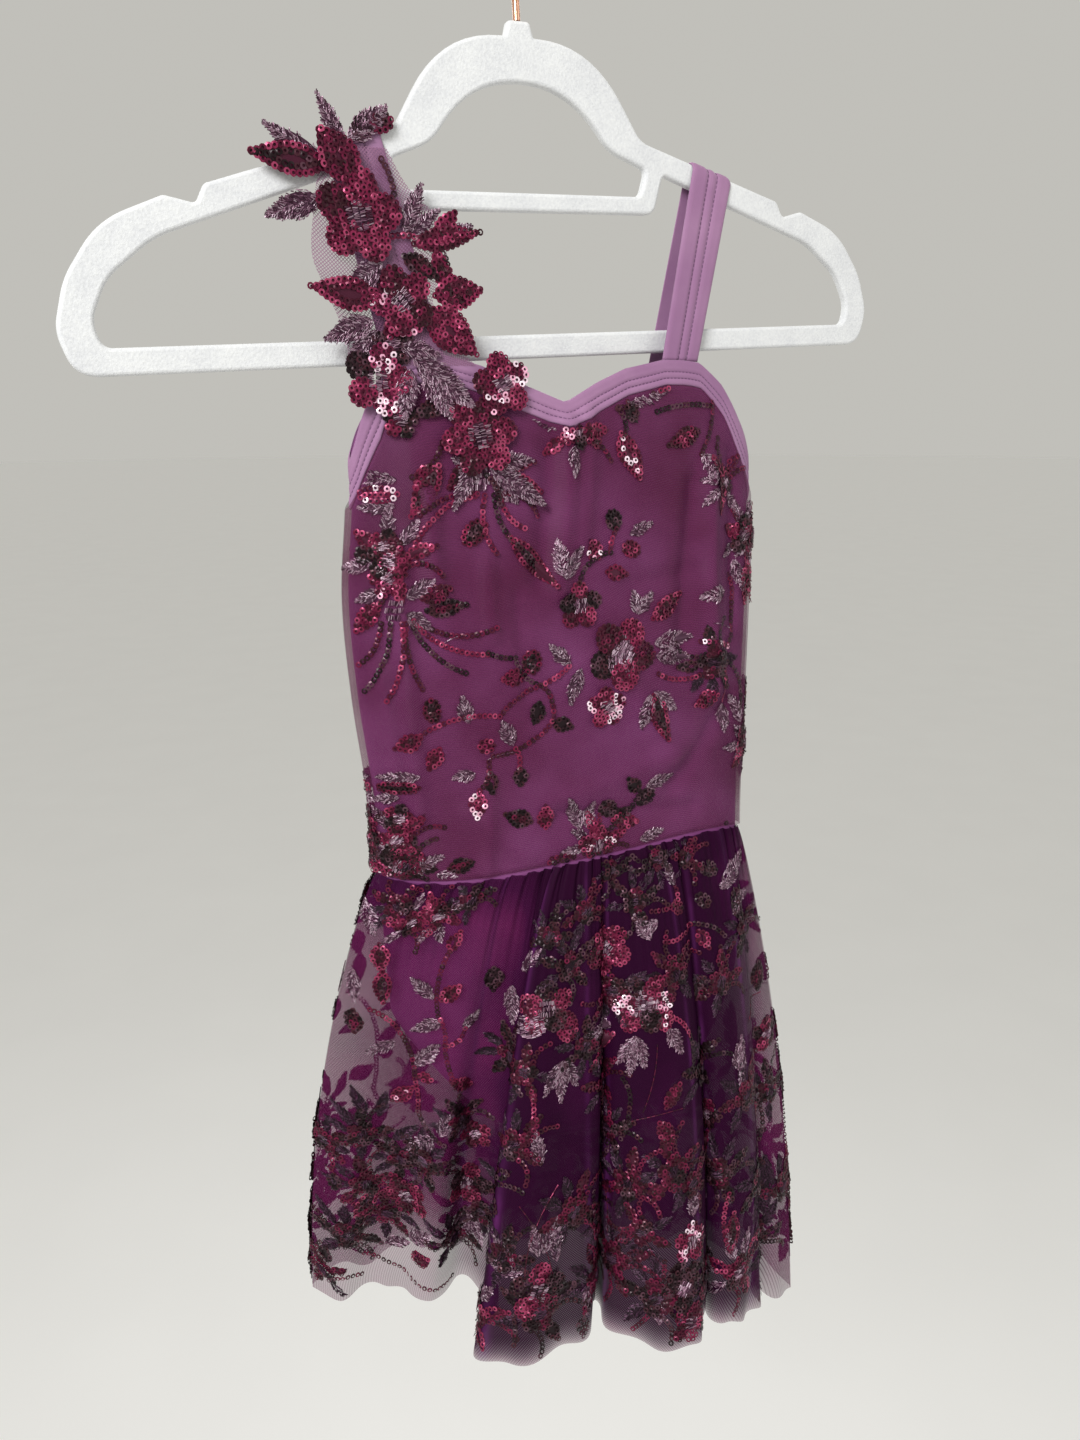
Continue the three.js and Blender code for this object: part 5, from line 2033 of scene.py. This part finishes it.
# Motifs of the applique: millimetres along X, and down from the origin
APPLIQUE_MOTIFS = {
    "thread_leaf": table("""
    across drop length width turn lift
    -82 146 25 11 40 0.8
    -84 149 24 8 118 0.8
    -96 170 28 12 200 0.8
    -92 158 32 11 150 0.4
    -58 182 24 9 66 0.8
    -58 184 22 8 36 0.4
    -40 185 18 9 28 0.8
    -76 221 26 12 200 1.4
    -74 225 22 9 222 0.8
    -58 237 37 15 -38 2.6
    -52 240 28 14 -66 2.2
    -60 242 24 12 -100 2.0
    -70 196 22 12 215 1.6
    -64 232 20 9 -10 1.4
    -30 286 26 9 -118 0.4
    -22 288 36 12 -34 0.4
    -22 286 24 10 2 0.4
"""),
    "sequin_leaf": table("""
    across drop length width turn edge heart lift
    -80 163 27 18 128 magenta garnet 3.4
    -92 157 36 13 176 magenta dark 1.8
    -55 187 36 10 12 garnet magenta 1.4
    -44 186 20 9 52 magenta garnet 1.2
    -60 192 20 9 -28 dark garnet 1.4
    -44 188 26 9 -72 magenta garnet 0.6
    -72 212 34 14 172 magenta garnet 3.4
    -50 215 32 19 -40 magenta magenta 1.6
    -46 209 26 15 8 magenta garnet 1.2
    -48 286 30 11 -122 magenta dark 0.4
"""),
    "flower": table("""
    across drop radius petals turn tones lift
    -80 177 20 5 12 magenta+magenta+garnet 3.0
    -62 212 15.5 5 40 magenta+garnet+bright 3.0
    -76 247 16.5 5 0 magenta+bright+dark 1.8
    -14 249 15 5 30 bright+magenta+garnet 3.0
    -27 273 19.5 6 10 magenta+garnet+magenta 1.8
    -67 231 10 5 20 dark+garnet 0.8
    -66 265 9 5 10 dark+magenta 0.2
"""),
    "petal": table("""
    across drop length width turn tone edge lift
    -75 140 12 9 60 dark dark 0.4
    -66 137 11 8 20 dark garnet 0.4
    -60 223 16 8 8 bright bright 2.0
    -48 259 20 8 20 dark dark 0.6
"""),
    "strand": table("""
    across drop to_across to_drop bend tone lift
    -67 152 -62 166 1 dark 0.4
    -64 184 -44 187 2 magenta 0.6
    -44 187 -38 197 2 dark 0.6
    -90 208 -72 204 2 garnet 0.6
    -46 276 -62 292 3 garnet 0.2
    -24 292 -18 306 2 dark 0.2
"""),
}

# Applique: the sides of the body that it may reach, how wide and low its cloth is read, with
# how many columns, the seed of its embroidery, and its net's edges
APPLIQUE_SIDES = (-0.85, 0.2)
APPLIQUE_REACH = (-150, 40)
APPLIQUE_READ = (125, 331)
APPLIQUE_READ_COLUMNS = 96
APPLIQUE_SEED = 11
APPLIQUE_NET = table("""
    level left right
    -147 -90 -64
    -162 -97 -55
    -176 -100 -40
    -194 -102 -38
    -210 -96 -46
    -226 -90 -40
    -240 -88 -26
""")


def applique_ground(x, level):
    """The surface behind the applique: over the strap, and lower down over the bodice."""
    foot = STRAP_FRONT_FOOT
    head = hanger_point(STRAP_LEFT["crossing"], 0, ARM_KNEE_LEVEL)[2]
    low = np.minimum(level, foot)
    section = {name: smooth_value(BODY_SECTIONS, "level", name, low) for name in ("x", "half")}
    side = np.clip((x - section["x"]) / section["half"], *APPLIQUE_SIDES)
    on_panel = body_point(2 / math.pi * np.arcsin(side), low, 1)[..., 1] - LAYER_GAP - CLOTH
    on_arm = -HANGER_THICKNESS / 2 - STRAP_CLEARANCE - STRAP_THICKNESS
    rise = np.clip((level - foot) / (head - foot), 0, 1)
    y = mix(on_panel, on_arm, rise) - LAYER_GAP
    return np.stack(np.broadcast_arrays(x, y, level), axis=-1)


def applique_cloth():
    """The applique's ground as a cloth that is read by X and by the drop from the origin."""
    reach = np.linspace(*APPLIQUE_REACH, APPLIQUE_READ_COLUMNS)[None, :]
    drops = np.arange(*APPLIQUE_READ, READ_STEP)
    points = applique_ground(reach, -drops[:, None])
    return Cloth(points, np.ones(points.shape[:2]), drops, middle=np.mean(APPLIQUE_REACH))


APPLIQUE_FLOWERS = ("top", "upper", "middle", "inner", "lower")
APPLIQUE_LEAVES = (
    "shoulder", "crest", "tip", "under_tip", "sprig_high", "sprig_out", "sprig_low",
    "left", "left_low", "silver", "drop", "fan",
)


def build_applique(finishes):
    """The sequin flowers and thread leaves on the left strap, with the net they are sewn on."""
    rows = np.linspace(0, len(APPLIQUE_NET["level"]) - 1, APPLIQUE_ROWS)[:, None]
    level, left, right = (smooth_value(APPLIQUE_NET, "row", name, rows) for name in APPLIQUE_NET)
    share = np.linspace(0, 1, APPLIQUE_COLUMNS)[None, :]
    points = applique_ground(mix(left, right, share), level + 0 * share)
    net = make_sheet("applique_net_cloth", points, finishes["applique_net"])
    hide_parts("applique_net")
    work = Embroidery(applique_cloth(), APPLIQUE_SEED)
    work.lay(APPLIQUE_MOTIFS)
    sequins, threads = work.build("applique", finishes)
    flowers = [f"applique_flower_{name}" for name in APPLIQUE_FLOWERS]
    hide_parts("applique_petal_right", *flowers)
    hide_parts(*(f"applique_leaf_{name}" for name in APPLIQUE_LEAVES))


def mirrored(motifs, shift=0.0):
    """The same motifs turned over about the cloth's middle line, and moved across."""
    turned_over = {}
    for kind, rows in motifs.items():
        rows = dict(rows)
        rows["across"] = shift - rows["across"]
        if "to_across" in rows:
            rows["to_across"] = shift - rows["to_across"]
            rows["bend"] = -rows["bend"]
        else:
            rows["turn"] = 180 - rows["turn"]
        turned_over[kind] = rows
    return turned_over


def build_embroidery(finishes):
    """The motifs on the bodice's and skirt's nets, and like ones round the back."""
    body = body_cloth()
    half_round = float(body.widths.mean()) / 2
    front_skirt = skirt_cloth(SKIRT_FRONT_FOLDS, 1)
    back_skirt = skirt_cloth(SKIRT_BACK_FOLDS, -1)
    for name, seed, cloth, motifs in (
        ("bodice_front", 3, body, BODICE_MOTIFS),
        ("bodice_back", 4, body, mirrored(BODICE_MOTIFS, half_round)),
        ("skirt_front", 5, front_skirt, SKIRT_MOTIFS),
        ("skirt_back", 6, back_skirt, mirrored(SKIRT_MOTIFS)),
    ):
        work = Embroidery(cloth, seed)
        work.lay(motifs)
        work.build(name, finishes)


# Each cloth piece's cut: width, length and flat area in metres, how it is held, what holds
# it, and the pieces that are sewn on it.
CUTS = table("""
    piece width length area held holder sewn_on
    bodice_front_cloth 0.25 0.275 0.063 hung binding_front_band none
    bodice_back_cloth 0.25 0.27 0.058 hung binding_back_band none
    bodice_front_overlay 0.255 0.265 0.061 hung binding_front_band bodice_front_sequins+bodice_front_threads
    bodice_back_overlay 0.25 0.26 0.055 hung binding_back_band bodice_back_sequins+bodice_back_threads
    binding_front_band 0.335 0.0127 0.0042 stretched bodice_front_cloth binding_front_stitches
    binding_back_band 0.335 0.0127 0.0042 stretched bodice_back_cloth binding_back_stitches
    brief_front_cloth 0.245 0.185 0.035 hung bodice_front_cloth none
    brief_back_cloth 0.245 0.185 0.035 hung bodice_back_cloth none
    gusset_cloth 0.054 0.027 0.00145 hung brief_front_cloth none
    strap_left_band 0.0206 0.252 0.00515 folded hanger_body strap_left_band_stitches
    strap_right_band 0.0206 0.265 0.0054 folded hanger_body strap_right_band_stitches
    strap_left_band_lining 0.0111 0.252 0.00275 folded strap_left_band none
    strap_right_band_lining 0.0111 0.25 0.00275 folded strap_right_band none
    skirt_front_net 0.47 0.29 0.108 gathered bodice_front_cloth skirt_front_sequins+skirt_front_threads
    skirt_back_net 0.43 0.28 0.096 gathered bodice_back_cloth skirt_back_sequins+skirt_back_threads
    applique_net_cloth 0.064 0.1 0.0048 laid strap_left_band applique_sequins+applique_threads
""")


def build_camera():
    camera = bpy.data.objects.new("camera", bpy.data.cameras.new("camera"))
    camera.data.sensor_fit = "VERTICAL"
    camera.data.sensor_height = SENSOR_HEIGHT
    camera.data.sensor_width = SENSOR_HEIGHT
    camera.data.lens = CAMERA_LENS
    camera.data.clip_start = CAMERA_NEAR
    axes = Matrix((CAMERA_RIGHT, CAMERA_UP, [-value for value in CAMERA_FORWARD])).transposed()
    camera.matrix_world = Matrix.Translation(Vector(CAMERA_AT) * MM) @ axes.to_4x4()
    bpy.context.scene.collection.objects.link(camera)
    bpy.context.scene.camera = camera


# Studio, in metres and watts: a pale floor, and lights with their place, size and power
FLOOR_LEVEL = -2.6
FLOOR_RADIUS = 60
FLOOR_SIDES = 96
LIGHTS = (
    ("key", (-1.5, -1.2, 0.8), 0.9, 52),
    ("fill", (1.5, -1.5, -0.1), 1.6, 8),
    ("back", (0.5, 1.6, 0.5), 1.4, 16),
)
LIGHT_TARGET = (0.02, -0.02, -0.45)
SKY_COLOUR = (0.86, 0.845, 0.79, 1)
SKY_STRENGTH = 0.62


def build_studio():
    """The floor, the lights and the pale world round them."""
    rim = []
    for turn in np.linspace(0, 2 * math.pi, FLOOR_SIDES + 1)[:-1]:
        rim.append((FLOOR_RADIUS * math.cos(turn), FLOOR_RADIUS * math.sin(turn), FLOOR_LEVEL))
    mesh = bpy.data.meshes.new("floor")
    mesh.from_pydata(rim, [], [list(range(len(rim)))])
    floor_finish = Finish("floor", Roughness=0.8)
    floor_finish.set("Base Color", floor_finish.ramp(floor_finish.noise("floor_mottling"), "floor"))
    mesh.materials.append(floor_finish.material)
    floor = bpy.data.objects.new("floor", mesh)
    bpy.context.scene.collection.objects.link(floor)
    for name, at, size, power in LIGHTS:
        light = bpy.data.lights.new(name, "AREA")
        light.size = size
        light.energy = power
        lamp = bpy.data.objects.new(name, light)
        lamp.location = at
        way = Vector(LIGHT_TARGET) - Vector(at)
        lamp.rotation_euler = way.to_track_quat("-Z", "Y").to_euler()
        bpy.context.scene.collection.objects.link(lamp)
    world = bpy.data.worlds.new("studio")
    world.use_nodes = True
    sky = world.node_tree.nodes["Background"].inputs
    sky["Color"].default_value = SKY_COLOUR
    sky["Strength"].default_value = SKY_STRENGTH
    bpy.context.scene.world = world
    bpy.context.scene.view_settings.view_transform = "Standard"


def main():
    finishes = {
        "flock": flock_finish(),
        "copper": copper_finish(),
        "spandex": stretch_finish("spandex"),
        "binding": stretch_finish("binding"),
        "overlay": overlay_finish(),
        "skirt": skirt_net_finish(),
        "applique_net": applique_net_finish(),
        "lining": stretch_finish("lining"),
        "sequin": sequin_finish(),
        "thread": thread_finish(),
        "seam": seam_finish(),
    }
    build_hanger_body(finishes["flock"])
    build_hook(finishes["copper"])
    build_body(finishes)
    build_strap("strap_left_band", STRAP_LEFT, "strap_left", finishes)
    build_strap("strap_right_band", STRAP_RIGHT, "strap_right", finishes)
    build_skirt(finishes["skirt"])
    build_embroidery(finishes)
    build_applique(finishes)
    build_camera()
    build_studio()


main()
